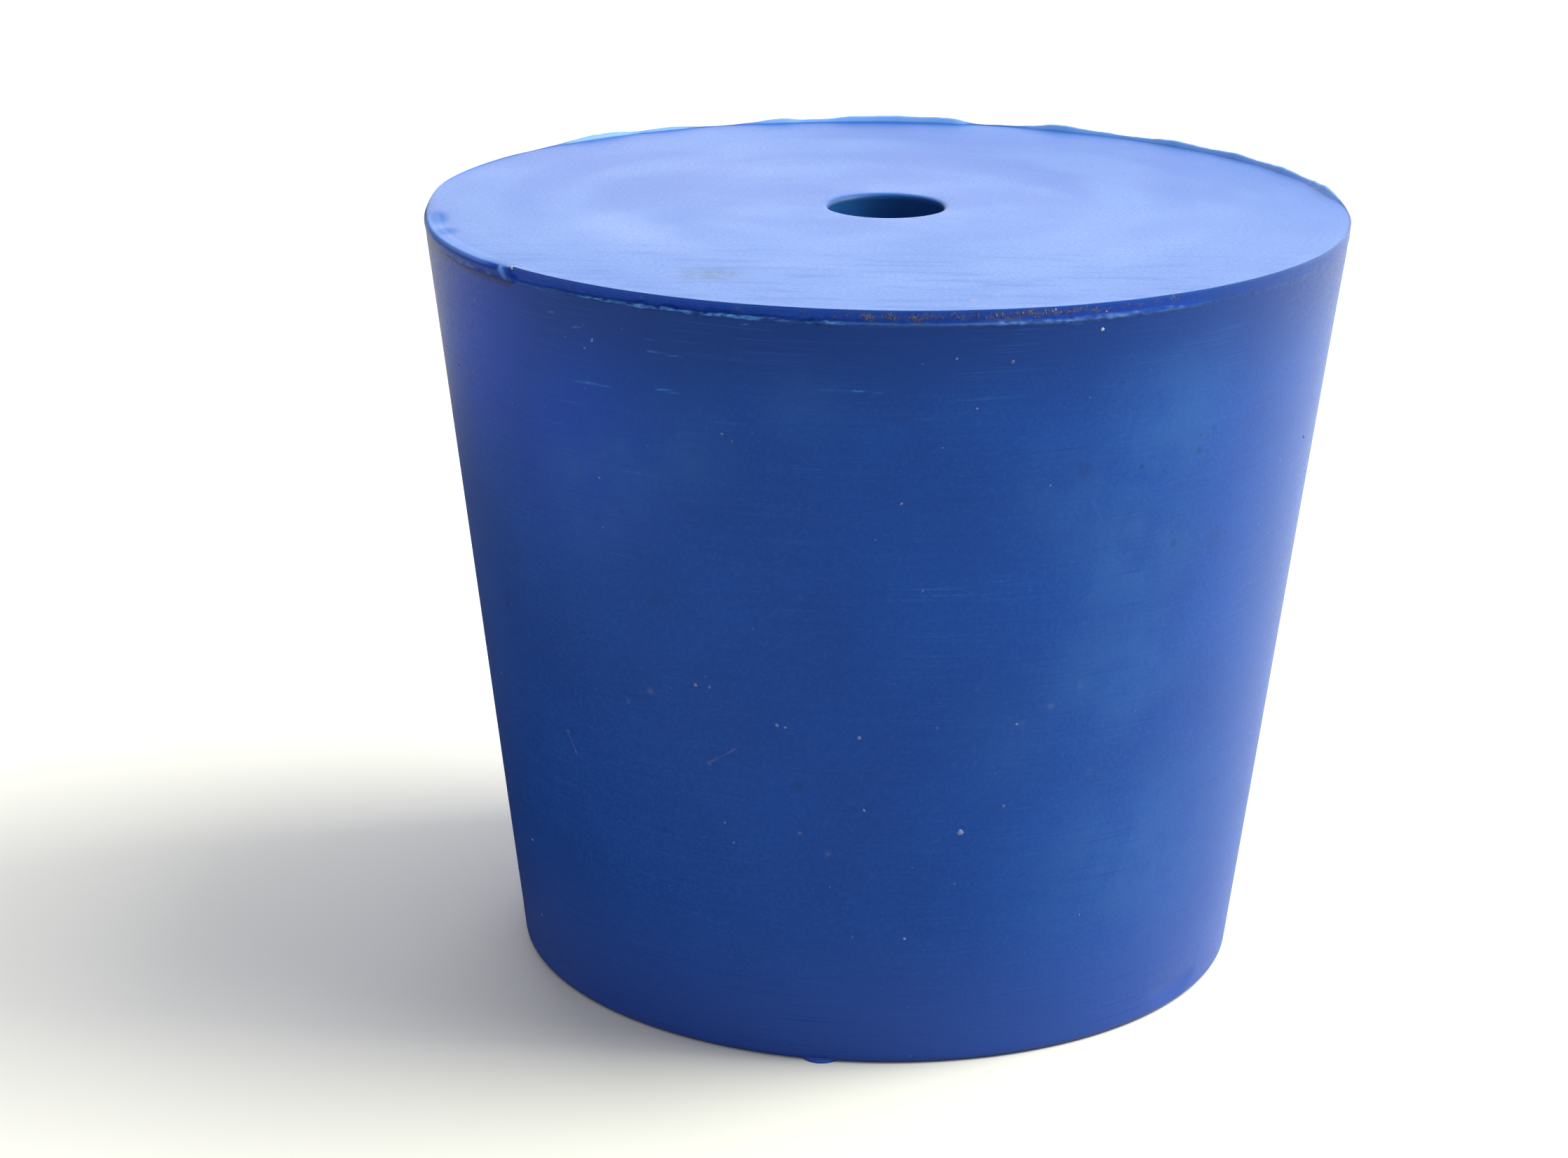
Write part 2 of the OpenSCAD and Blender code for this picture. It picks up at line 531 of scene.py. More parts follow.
# How far the ridge stands out, by angle
RIDGE_OUT = [
    (-180, 0.03), (-139, 0.02), (-130, 0.02), (-126, 0.09), (-121, 0.04), (-118, 0.16),
    (-108, 0.18), (-105, 0.12), (-98, 0.09), (-90, 0.07), (-80, 0.07), (-77, 0.13), (-70, 0.09),
    (-62, 0.06), (-52, 0.03), (-35, 0.01), (-20, 0.03), (40, 0.09), (90, 0.06), (130, 0.08),
]
RIDGE_CHATTER = 0.009
RIDGE_SAG = 0.03
RIDGE_LEAST = 0.005


def by_angle(table):
    """A ring of numbers, on straight lines between (angle, value) pairs."""
    angles, values = np.transpose(table)
    return np.interp(fine_turns, angles, values, period=360)


band_z = HEIGHT - BAND_H + HIGH_CUT_BY * window(fine_turns, *HIGH_CUT)
ridge_out = by_angle(RIDGE_OUT)
ridge_out += RIDGE_CHATTER * ring_noise(1, FINE, 21, 1, 6)[0]
ridge_out = np.maximum(ridge_out, RIDGE_LEAST)
ridge_sag = RIDGE_SAG * ring_noise(1, FINE, 22, 1, 40)[0]
tall = smooth_step(lip_height, 0.05, 0.4)
crest_w = CREST_W[0] + (CREST_W[1] - CREST_W[0]) * tall
foot_w = FOOT_W[0] + (FOOT_W[1] - FOOT_W[0]) * tall
print("the ridge stands out by up to", ridge_out.max().round(2), "mm")

# %% [markdown]
# The control points run from the wall, over the ridge, up the band, over the
# lip and onto the flat top. Two of them set close together make a tight bend,
# and a wide gap makes a soft one. All small offsets are in millimetres.

# %% Shape the trimmed rim


def around(value):
    """A single number or a ring of numbers, as a ring."""
    return np.broadcast_to(np.asarray(value, float), (FINE,))


def trimmed_controls():
    """Control points (radius, height) of the rim where the knife passed."""
    band_in = BAND_IN * (1 - (1 - UPRIGHT_LEFT) * window(fine_turns, *UPRIGHT_CUT))
    lean = band_in / BAND_H
    foot_z = band_z - RIDGE_H + ridge_sag
    low_z = band_z - 0.25 + ridge_sag
    high_z = band_z - 0.12 + ridge_sag
    points = [
        (wall_r(HEIGHT - 1.25), HEIGHT - 1.25),
        (wall_r(foot_z - 0.1), foot_z - 0.1),
        (wall_r(foot_z), foot_z),
        (wall_r(low_z) + ridge_out, low_z),
        (wall_r(high_z) + 0.9 * ridge_out, high_z),
        (TOP_R - band_in + 0.02, band_z - 0.02),
        (TOP_R - band_in + 0.01, band_z + 0.08),
        (TOP_R - 0.6 * band_in, HEIGHT - 0.6 * BAND_H),
        (TOP_R - 0.03, HEIGHT - 0.08),
        (TOP_R + lean * lip_height, HEIGHT + lip_height),
        (TOP_R - crest_w, HEIGHT + lip_height),
        (TOP_R - (crest_w + foot_w) / 2, HEIGHT + 0.35 * lip_height),
        (TOP_R - foot_w, HEIGHT),
        (TOP_R - foot_w - 0.4, HEIGHT),
    ]
    return np.array([(around(r), around(z)) for r, z in points])


trimmed = np.einsum("sc,ckf->ksf", weights, trimmed_controls())
print("rim rows run from z", trimmed[1].min().round(2), "to", trimmed[1].max().round(2))

# %% [markdown]
# ## The bead that the knife missed
#
# At the left the flash wasn't cut off. It rolled over into a soft round bead,
# and at its right end it was torn through. The bead's section is a part of a
# circle, with the top face running into it and a ragged lower edge that hangs
# over the wall. Round the rim the circle's centre follows a ring that lies a
# little off the axis, so the bead grows out of the rim and sinks back into it.

# %% Shape the bead
BEAD_R = 0.43
BEAD_OUT = 0.2
BEAD_DROP = 0.05
BEAD_AT = -150
BEAD_RING = 0.85 * TOP_R
BEAD_RAG = 0.04
BEAD_SWELL = (-176, -150)
RAGGED = (-148, -139, 3)


def bead_controls():
    """Control points of the bead: the wall, the ragged lower edge, six points
    round the circle from below to the top, and the flat face. The centre's
    distance from the axis is d cos a + sqrt(R^2 - d^2 sin^2 a), for a ring of
    radius R set off by d."""
    off = TOP_R + BEAD_OUT - BEAD_R - BEAD_RING
    swing = np.radians(fine_turns - BEAD_AT)
    centre_r = off * np.cos(swing) + np.sqrt(BEAD_RING**2 - (off * np.sin(swing)) ** 2)
    centre_z = HEIGHT - BEAD_DROP - BEAD_R
    centre_r = np.maximum(centre_r, wall_r(centre_z) + 0.02 - BEAD_R)
    rag = BEAD_RAG * ring_noise(1, FINE, 32, 1, 7)[0] * (1 + window(fine_turns, *RAGGED))
    edge_z = centre_z - 0.92 * BEAD_R + rag
    swell = smooth_step(fine_turns, *BEAD_SWELL)
    hang = centre_r + 1.02 * BEAD_R + 0.5 * rag - wall_r(edge_z)
    edge = (wall_r(edge_z) + swell * hang, edge_z)
    points = [(wall_r(centre_z - down), centre_z - down) for down in (1.2, 0.75)]
    points += [(wall_r(edge_z) - 0.02, edge_z - 0.03), edge, edge]
    points.append((centre_r + BEAD_R, centre_z - 0.35 * BEAD_R))
    for a in np.radians([2, 24, 44, 62, 80]):
        points.append((centre_r + BEAD_R * math.cos(a), centre_z + BEAD_R * math.sin(a)))
    points += [(centre_r - 0.3, HEIGHT - 0.01), (centre_r - 0.6, HEIGHT), (centre_r - 0.8, HEIGHT)]
    return np.array([(around(r), around(z)) for r, z in points])


bead = np.einsum("sc,ckf->ksf", weights, bead_controls())
print("bead stands out to", bead[0].max().round(2), "mm from the axis")

# %% [markdown]
# The two sections are mixed by a share that is 1 on the bead. It rises slowly
# at the back and falls within half a millimetre at the torn end, where noise
# makes the break ragged. Just before the end, a thin fold runs down across the
# bead and curls out at its foot. It is a ridge along a short straight line,
# and each point rises by how near it lies to that line.

# %% Join the bead to the trimmed rim
BEAD_START = (-192, -174)
BEAD_TORN = (-139.0, -138.1)
# The two ends of the fold: angle, and depth below the top in mm
FOLD_FROM, FOLD_TO = (-140.7, 0.16), (-139.2, 0.66)
FOLD_W = 0.10
FOLD_OUT = 0.16

row = np.arange(RIM_ROWS)[:, None]
angle_rows = np.broadcast_to(fine_turns, (RIM_ROWS, FINE))
break_noise = 0.3 * ring_noise(RIM_ROWS, FINE, 31, 2, 5)
from_back = np.where(angle_rows > 170, angle_rows - 360, angle_rows)
bead_share = smooth_step(from_back, *BEAD_START)
bead_share = bead_share * (1 - smooth_step(from_back + break_noise, *BEAD_TORN))
rim_rz = trimmed * (1 - bead_share) + bead * bead_share

beside_fold = np.radians(angle_rows - FOLD_FROM[0]) * TOP_R
below_fold = HEIGHT - rim_rz[1] - FOLD_FROM[1]
fold_along = math.radians(FOLD_TO[0] - FOLD_FROM[0]) * TOP_R
fold_down = FOLD_TO[1] - FOLD_FROM[1]
on_line = (beside_fold * fold_along + below_fold * fold_down) / (fold_along**2 + fold_down**2)
on_line = np.clip(on_line, 0, 1)
from_fold = np.hypot(beside_fold - on_line * fold_along, below_fold - on_line * fold_down)
from_fold += 0.03 * ring_noise(RIM_ROWS, FINE, 34, 1.5, 3)
fold = np.exp(-((from_fold / FOLD_W) ** 2)) * window(row, 9, 19, 2)
rim_rz[0] += FOLD_OUT * fold * (0.5 + 0.7 * on_line)
print("bead covers", round(float((bead_share > 0.5).mean() * 360), 1), "degrees of the rim")

# %% [markdown]
# ## Torn rubber
#
# Where the ridge tore, the surface is a mess of short fibres and small bites.
# Two sizes of noise push the ridge's rows in and out. Torn rubber is also
# paler than moulded rubber, so the same numbers colour it further down.

# %% Tear the ridge
# How badly the ridge is torn, by angle
TEAR = [
    (-180, 0.03), (-141, 0.03), (-129, 0.10), (-126, 0.7), (-124, 0.7), (-121, 0.3),
    (-119, 1.0), (-106, 1.0), (-98, 0.7), (-94, 0.2), (-80, 0.12), (-76, 0.35), (-68, 0.45),
    (-62, 0.3), (-50, 0.12), (-30, 0.05), (20, 0.25), (60, 0.15), (120, 0.3),
]
# How far fibres stand out, bites go in and the torn crest wanders up and down
FIBRE = 0.045
BITE = 0.06
WANDER = 0.03

on_ridge = window(row, 5, 10, 3)
tear = on_ridge * by_angle(TEAR) * (1 - bead_share)
fibre = ring_noise(RIM_ROWS, FINE, 41, 0.9, 1.6)
bite = ring_noise(RIM_ROWS, FINE, 42, 1.8, 6)
rim_rz[0] += tear * (FIBRE * fibre - BITE * np.maximum(bite - 0.3, 0))
rim_rz[1] += tear * WANDER * ring_noise(RIM_ROWS, FINE, 43, 1.2, 3)
print("torn share of the ridge:", round(float((tear > 0.3).mean()), 3))

# %% [markdown]
# The finish has to know where the rubber is torn or cut, and where light and shade are painted on.
# Each of these is a number from 0 to 1 at every point of the rim. It is a
# product of windows, one over the rows of the section and one round the rim,
# mostly with some noise, and it is kept on the mesh's points further down.

# %% Mark what the finish follows
# Where the ridge's crest gets a thin painted highlight
CREST_HIGHLIGHT = (-102, -56, 6)
# Along this stretch the bead's shoulder gets a painted highlight
SHOULDER_SHOWS = (-168, -146, 5)
SHOULDER_HIGHLIGHT = 0.8
# How strong the painted highlight along the top edge is, by angle
EDGE_HIGHLIGHT = [
    (-180, 0.1), (-128, 0.25), (-100, 0.3), (-92, 0.6), (-60, 0.6), (-45, 0.2), (0, 0.1),
    (90, 0.3),
]

# The fold and the lobes of the bead's lower edge are pale as torn rubber is, and carry a painted
# highlight
lobes = np.clip(ring_noise(1, FINE, 33, 1, 4), 0, 1) * window(row, 8, 10, 2)
lobes = 0.6 * lobes * window(fine_turns, *RAGGED) * bead_share
# Painted highlights on the bead's rounded shoulder and along the top edge of the trimmed rim
shoulder = window(row, 17.5, 22, 2.5) + 0.35 * window(row, 24, 27, 2)
shoulder = np.minimum(shoulder, 1) * window(fine_turns, *SHOULDER_SHOWS)
painted_highlight = SHOULDER_HIGHLIGHT * shoulder * bead_share
top_edge_highlight = by_angle(EDGE_HIGHLIGHT) * (0.75 + 0.25 * ring_noise(1, FINE, 44, 1, 9)[0]) * (1 - bead_share)
painted_highlight = painted_highlight + top_edge_highlight * window(row, 21, 23, 1)
frayed = np.clip(tear * (0.75 + 0.5 * fibre - 0.3 * bite), 0, 1)
torn = frayed * window(row, 5.5, 8.5, 1.5)
# Painted shade in the gaps between torn fibres, and on the bead's lower half, which faces down
hole = frayed * window(row, 9, 12, 1.5) + 0.6 * window(row, 8, 14, 2) * bead_share
# A painted highlight along the ridge's crest at the front
crest = 0.4 * window(row, 7, 8, 1.2) * window(fine_turns, *CREST_HIGHLIGHT)
crest = crest * (0.7 + 0.3 * ring_noise(1, FINE, 45, 1, 12)[0])
# The pale mark sums the fold, the lobes and the painted highlights
pale = np.clip(np.sqrt(fold) + lobes + painted_highlight + crest, 0, 1)
upright = window(fine_turns, *UPRIGHT_CUT)
cut = window(row, 11, 19, 2) * (1 - bead_share) * (1 - UPRIGHT_DULL * upright)
cut = cut + 0.7 * window(row, 8, 20, 2) * bead_share
# Painted light on the inner face of the lip, where it stands tall
thin = window(row, 19, 26, 2) * smooth_step(lip_height, 0.05, 0.25) * (1 - bead_share)
# Painted shade on the wall just under the bead
under_bead_shade = smooth_step(row, -0.5, 2.5) * (1 - smooth_step(row, 6, 8)) * bead_share
print("torn share of the rim:", round(float((torn > 0.3).mean()), 3))

# %% [markdown]
# ## The rest of the section
#
# Away from the rim a few rings are enough: flat faces, soft round mouths at
# both ends of the hole, a rounded edge at the base and the straight wall. An
# arc is a centre plus a radius times the cosine and sine of its angles.

# %% Lay out the coarse rings
MOUTH_R = 0.4
BASE_EDGE_R = 0.5
MOUTH_STEPS = 6
EDGE_STEPS = 7
BORE_STEPS = 6


def arc(centre_r, centre_z, radius, start, end, steps):
    """(radius, height) of points on an arc between two angles in degrees."""
    a = np.radians(np.linspace(start, end, steps))
    return np.stack([centre_r + radius * np.cos(a), centre_z + radius * np.sin(a)], 1)


def level(radii, z):
    """Points at one height, at these radii."""
    return np.stack([np.asarray(radii, float), np.full(len(radii), float(z))], 1)


taper = math.degrees(math.atan(SLOPE))
mouth_centre = BORE_R + MOUTH_R
edge_centre = BASE_R + BASE_EDGE_R * (SLOPE - 1 / math.cos(math.radians(taper)))
bore_z = np.linspace(HEIGHT - MOUTH_R, MOUTH_R, BORE_STEPS)[1:-1]
wall_z = np.array([0.8, 1.2, 1.6, 2.2, 4, 8, 13, 18, 23, 28, 33, 38, 42, 45, 47, 48.2])

section = np.concatenate(
    [
        level([28.6, 27.2, 25, 22, 19, 16, 13, 10, 7.5, 5.6, 4.6], HEIGHT),
        arc(mouth_centre, HEIGHT - MOUTH_R, MOUTH_R, 90, 180, MOUTH_STEPS),
        np.stack([np.full_like(bore_z, BORE_R), bore_z], 1),
        arc(mouth_centre, MOUTH_R, MOUTH_R, 180, 270, MOUTH_STEPS),
        level([4.8, 7, 11, 15, 19, 22, 23.1], 0),
        arc(edge_centre, BASE_EDGE_R, BASE_EDGE_R, -90, -taper, EDGE_STEPS),
        np.stack([wall_r(wall_z), wall_z], 1),
    ]
)
print(len(section), "coarse rings")

# %% [markdown]
# Moulded rubber isn't perfectly flat. The faces and the wall get a long, very
# shallow waviness that only the highlights show. Near the base there are two
# marks. A round scrap of flash sticks out of the bottom edge, and at the right
# a flat shaving was taken off the wall.

# %% Mark the coarse rings
WAVE = 0.012
SCRAP_AT, SCRAP_R, SCRAP_T, SCRAP_OUT = -98, 1.2, 0.2, 0.35
NICK_AT, NICK_Z, NICK_HALF, NICK_DEPTH = -36, 1.0, 0.75, 0.12

coarse_turns = turns(COARSE)
radius = np.repeat(section[:, :1], COARSE, 1)
height = np.repeat(section[:, 1:], COARSE, 1)

wave = WAVE * ring_noise(len(section), COARSE, 51, 2, 12)
on_top = (section[:, 1:] > HEIGHT - 0.01) & (section[:, :1] > 4.5)
on_side = (section[:, :1] > BASE_R) & (section[:, 1:] > 2)
height = height + wave * on_top
radius = radius + wave * on_side

from_scrap = np.radians(coarse_turns - SCRAP_AT)
scrap_centre = BASE_R + SCRAP_OUT - SCRAP_R
half_chord = np.maximum(SCRAP_R**2 - (scrap_centre * np.sin(from_scrap)) ** 2, 0)
scrap_edge = scrap_centre * np.cos(from_scrap) + np.sqrt(half_chord)
near_scrap = (section[:, 1:] < SCRAP_T) & (section[:, :1] > scrap_centre)
near_scrap = near_scrap & (np.abs(from_scrap) < np.arcsin(SCRAP_R / scrap_centre))
radius = np.where(near_scrap, np.maximum(radius, scrap_edge), radius)

from_nick = np.radians(coarse_turns - NICK_AT)
nick_plane = (wall_r(NICK_Z) - NICK_DEPTH) / np.cos(from_nick)
near_nick = (np.abs(from_nick) < 0.3) & (np.abs(section[:, 1:] - NICK_Z) < NICK_HALF)
radius = np.where(near_nick, np.minimum(radius, nick_plane), radius)
print("scrap reaches", radius[near_scrap].max().round(2), "mm from the axis")

# %% [markdown]
# ## Put the mesh together
#
# The rim's fine rings come first and the coarse rings after them. Faces are
# three blocks of indices: quads inside each stack and the two seams. Each ring
# of points runs the same way round and the rings run up the wall, so every
# face looks outwards.

# %% Helpers for meshes


def mesh_from_blocks(name, points, blocks):
    """A mesh from points in mm and blocks of faces, each an array with one row
    of corner indices per face."""
    mesh = bpy.data.meshes.new(name)
    corners = np.concatenate([block.ravel() for block in blocks]).astype(np.int32)
    sizes = np.concatenate([np.full(len(b), b.shape[1]) for b in blocks])
    starts = np.concatenate([[0], np.cumsum(sizes)[:-1]]).astype(np.int32)
    mesh.vertices.add(len(points))
    mesh.vertices.foreach_set("co", (points * MM).astype(np.float32).ravel())
    mesh.loops.add(len(corners))
    mesh.loops.foreach_set("vertex_index", corners)
    mesh.polygons.add(len(sizes))
    mesh.polygons.foreach_set("loop_start", starts)
    mesh.polygons.foreach_set("use_smooth", np.ones(len(sizes), bool))
    mesh.update(calc_edges=True)
    mesh.validate()
    return mesh


def point_values(mesh, name, values):
    """Keeps one number per point, for the material to read."""
    attribute = mesh.attributes.new(name, "FLOAT", "POINT")
    attribute.data.foreach_set("value", np.asarray(values, np.float32).ravel())


print("mesh helpers ready")

# %% Join the rings
rim_points = ring_points(rim_rz[0], rim_rz[1], FINE)
body_points = ring_points(radius, height, COARSE)
rim_count = RIM_ROWS * FINE
last_rim = (RIM_ROWS - 1) * FINE
last_body = rim_count + (len(section) - 1) * COARSE

stopper_mesh = mesh_from_blocks(
    "stopper_body",
    np.concatenate([rim_points.reshape(-1, 3), body_points.reshape(-1, 3)]),
    [
        stack_faces(0, RIM_ROWS, FINE),
        stack_faces(rim_count, len(section), COARSE),
        seam_faces(rim_count, last_rim, fine_on_top=False),
        seam_faces(last_body, 0, fine_on_top=True),
    ],
)
rest = np.zeros(len(section) * COARSE)
finishes = {"torn": torn, "hole": hole, "cut": cut, "pale": pale, "under_bead_shade": under_bead_shade, "thin": thin}
for name, values in finishes.items():
    point_values(stopper_mesh, name, np.concatenate([values.ravel(), rest]))
stopper = put("stopper_body", stopper_mesh)

triangles = sum(len(p.vertices) - 2 for p in stopper_mesh.polygons)
print("stopper_body:", len(stopper_mesh.vertices), "points,", triangles, "triangles")

# %% [markdown]
# ## The rubber
#
# Dull blue rubber could be one colour, but then it looks like plastic. On the
# real thing the colour changes a little at every size: soft clouds, a grain as
# fine as flour, and fine lines that run round the wall, where the mould was
# turned. The patterns are noise, read in millimetres, so that each has its
# real size. Noise that is squeezed in height and stretched sideways gives the
# lines, with no need of an unwrapped surface.

# %% Read places in millimetres


def millimetres(tree):
    """The place on the part in mm, its height, and its distance from the axis."""
    place = add(tree, "TexCoord").outputs["Object"]
    in_mm = add(tree, "Mapping", Vector=place, Scale=(1 / MM,) * 3).outputs[0]
    height = add(tree, "SeparateXYZ", Vector=in_mm).outputs["Z"]
    flat = add(tree, "VectorMath", {"operation": "MULTIPLY"}, i0=in_mm, i1=(1, 1, 0))
    from_axis = add(tree, "VectorMath", {"operation": "LENGTH"}, i0=flat.outputs[0])
    return in_mm, height, from_axis.outputs["Value"]


def noise(tree, where, per_mm, detail=2.0, roughness=0.5, stretch=None, turn=0.0):
    """Noise with this many lumps in a millimetre. The stretch multiplies the
    three axes, and a number under 1 makes the lumps longer along that axis."""
    if stretch:
        turned = (0, 0, math.radians(turn))
        where = add(tree, "Mapping", Vector=where, Rotation=turned, Scale=stretch).outputs[0]
    inputs = {"Vector": where, "Scale": per_mm, "Detail": detail, "Roughness": roughness}
    return add(tree, "TexNoise", **inputs).outputs["Fac"]


def attribute(tree, name):
    """A number kept on the mesh's points."""
    return add(tree, "Attribute", {"attribute_name": name}).outputs["Fac"]


print("patterns are read in mm")

# %% [markdown]
# Years in a drawer have left marks on the wall: short pale scratches, most of
# them along the lines of the mould, dark spots, pale smears, and places where
# a haze clings, which is partly painted reflection. Each mark is a body that the
# surface passes through: where the surface is inside it, the mark shows. A
# scratch is a thin ellipsoid. A Mapping node of the kind Texture turns it into a
# unit ball, and then the distance from the ball's centre is all that counts.
# Round marks are balls from the start, because a shader has room for only a few
# dozen Mapping nodes.

# %% List the marks on the wall
SCRATCH_W, SCRATCH_DEEP = 0.2, 0.6

# Scratches: angle, height, length, rise in degrees and strength
SCRATCHES = [
    (-131.9, 47.8, 1.1, 10, 0.6), (-128.0, 47.2, 1.2, 9, 0.7), (-117.0, 46.5, 2.2, 1, 0.7),
    (-114.4, 46.4, 1.6, 0, 0.5), (-127.1, 43.8, 2.6, 3, 0.9), (-124.5, 43.8, 1.6, 2, 0.5),
    (-116.1, 44.2, 1.5, 5, 0.9), (-114.7, 44.1, 1.3, 0, 0.4), (-130.2, 42.3, 4.1, 2, 0.35),
    (-133.1, 40.7, 4.0, 2, 0.3), (-93.4, 45.1, 2.6, 0, 1.0), (-90.3, 45.0, 1.0, 0, 0.6),
    (-96.5, 45.1, 2.4, 0, 0.3), (-105.7, 48.8, 0.9, 4, 0.5), (-117.5, 47.2, 1.0, 4, 0.4),
    (-106.8, 46.7, 1.2, 0, 0.3), (-84.1, 32.6, 5.5, 0, 0.35), (-82.5, 32.2, 4.0, 0, 0.3),
    (-86.0, 31.9, 5.0, 0, 0.25), (-78.0, 44.6, 6.5, 2, 0.25), (-84.5, 43.4, 3.0, 0, 0.25),
    (-63.3, 37.1, 2.6, -56, 0.3), (-67.8, 48.9, 2.2, 3, 0.3), (-100.2, 31.0, 3.5, 1, 0.2),
    (-121.0, 38.6, 4.5, 2, 0.25), (-112.5, 37.4, 5.0, 0, 0.2), (-124.5, 33.0, 3.6, 1, 0.25),
    (-108.0, 42.6, 3.2, 0, 0.3), (-98.5, 40.1, 4.0, 0, 0.2), (-118.0, 25.5, 3.0, 1, 0.2),
    (150.0, 38.0, 2.2, 6, 0.7), (96.0, 29.0, 3.0, -8, 0.5), (64.0, 41.0, 1.8, 2, 0.7),
    (12.0, 35.0, 2.0, -5, 0.6), (-160.0, 27.0, 2.2, -14, 0.5),
]

# Dark spots: angle, height, half width and strength
SPOTS = [
    (-57.4, 39.4, 0.26, 0.7), (-65.4, 39.6, 0.75, 0.35), (-48.5, 39.7, 0.35, 0.6),
    (-48.5, 40.7, 0.22, 0.5), (-50.8, 33.9, 0.42, 0.55), (-61.5, 44.9, 0.35, 0.3),
    (-112.3, 21.2, 0.25, 0.5), (-100.4, 19.3, 0.6, 0.4), (-123.5, 35.9, 0.3, 0.4),
    (-120.7, 14.8, 0.35, 0.35), (-105.4, 40.5, 0.2, 0.3), (-127.5, 35.1, 0.3, 0.4),
    (-119.5, 30.4, 0.5, 0.25), (-43.0, 33.5, 1.1, 0.2), (25.0, 30.0, 0.3, 0.6),
    (70.0, 18.0, 0.5, 0.4), (110.0, 37.0, 0.25, 0.6), (162.0, 12.0, 0.6, 0.4),
]

# Pale smears: angle, height, half width and strength
SMEARS = [
    (-121.2, 24.3, 0.4, 0.2), (-125.0, 23.2, 0.3, 0.15), (-96.5, 14.8, 0.4, 0.12),
    (-67.0, 24.4, 0.4, 0.25), (-77.2, 25.9, 0.25, 0.2), (-70.9, 23.3, 0.4, 0.15),
    (-63.0, 25.4, 0.4, 0.15), (-60.1, 19.5, 0.5, 0.1), (35.0, 31.0, 0.4, 0.2),
    (141.0, 30.0, 0.5, 0.2),
]

# Places where a pale film clings to the wall, partly painted reflection: angle, height, half
# width, strength
HAZE_AND_REFLECTIONS = [
    (-129, 36.5, 6, 0.45), (-122, 38.5, 6, 0.4), (-114, 40.5, 5, 0.3), (-99, 44, 4, 0.2),
    (-67, 38.5, 6, 0.35), (-57, 34.0, 8, 0.6), (-57, 26.0, 9, 0.5), (-53, 42.0, 8, 0.5),
    (-52, 12.0, 12, 0.5), (-72, 22.0, 6, 0.2), (60, 25, 9, 0.5), (120, 38, 8, 0.5),
    (170, 20, 8, 0.4),
]

# Where the blue is stronger, a painted dark reflection at the left: angle, height, half width and
# strength
LEFT_DARK_REFLECTION = [(-132, 40, 11, 0.5), (-150, 45, 13, 0.7)]

print(len(SCRATCHES), "scratches,", len(SPOTS), "spots and", len(SMEARS), "smears")

# %% Turn marks into masks


def spot(tree, in_mm, centre, half, turn=0.0, rise=0.0, core=0.3):
    """1 in the core of an ellipsoid with these half sizes, 0 outside it."""
    turned = (0, math.radians(-rise), math.radians(turn))
    inputs = {"Vector": in_mm, "Location": centre, "Rotation": turned, "Scale": half}
    ball = add(tree, "Mapping", {"vector_type": "TEXTURE"}, **inputs).outputs[0]
    away = add(tree, "VectorMath", {"operation": "LENGTH"}, i0=ball).outputs["Value"]
    return ramp(tree, away, 1.0, core)


def on_wall_at(turn, z):
    """The place in mm on the cone at this angle and height."""
    a = math.radians(turn)
    return (wall_r(z) * math.cos(a), wall_r(z) * math.sin(a), z)


def scratch_mask(tree, in_mm):
    """All scratches in one mask, each broken up along its length."""
    masks = []
    for turn, z, length, rise, strength in SCRATCHES:
        half = (length / 2, SCRATCH_DEEP, SCRATCH_W / 2)
        mask = spot(tree, in_mm, on_wall_at(turn, z), half, turn + 90, rise)
        masks.append(both(tree, mask, strength))
    broken = noise(tree, in_mm, 1.0, 3.0, 0.65, stretch=(2.2, 2.2, 14))
    return both(tree, strongest(tree, masks), ramp(tree, broken, 0.40, 0.60, 0.05, 1.0))


def balls_mask(tree, in_mm, balls, core):
    """1 in the core of each ball and 0 outside it, times its strength."""
    masks = []
    for turn, z, half, strength in balls:
        centre = on_wall_at(turn, z)
        away = add(tree, "VectorMath", {"operation": "DISTANCE"}, i0=in_mm, i1=centre)
        masks.append(ramp(tree, away.outputs["Value"], half, core * half, 0.0, strength))
    return strongest(tree, masks)


print("a scratch is", SCRATCH_W, "mm wide")

# %% [markdown]
# The flat top has its own marks. It was wiped and set down many times, so a
# pale film lies on it in soft arcs round the hole, and near the front there is
# a greenish stain with a creamy smear beside it. The arcs come from noise that
# reads the direction from the axis and the distance from it, in place of x and
# y: its lumps are then stretched round the hole. The top mirrors a bright lamp
# at a low angle, so most of its marks show as a change of gloss, and the same
# masks drive both the colour and the roughness.

# %% Noise in arcs round the hole


def round_the_axis(tree, in_mm, from_axis, along, across):
    """Noise in arcs round the axis: along is how fast it changes round a turn
    and across how fast it changes with each mm from the axis."""
    flat = add(tree, "VectorMath", {"operation": "MULTIPLY"}, i0=in_mm, i1=(1, 1, 0)).outputs[0]
    heading = add(tree, "VectorMath", {"operation": "NORMALIZE"}, i0=flat).outputs[0]
    spread = add(tree, "VectorMath", {"operation": "SCALE"}, i0=heading, Scale=along).outputs[0]
    outward = add(tree, "CombineXYZ", Z=math_node(tree, "MULTIPLY", from_axis, across)).outputs[0]
    where = add(tree, "VectorMath", {"operation": "ADD"}, i0=spread, i1=outward).outputs[0]
    return add(tree, "TexNoise", Vector=where, Scale=1.0, Detail=2.0).outputs["Fac"]


print("arcs ready")

# %% Find the marks on the top
# Rubbed places on the left of the top: x, y, half sizes, turn and strength
SMUDGES = [(-28.5, -5.8, 0.9, 2.8, 8, 1.0), (-27.5, -9.9, 1.1, 1.5, 10, 0.8)]
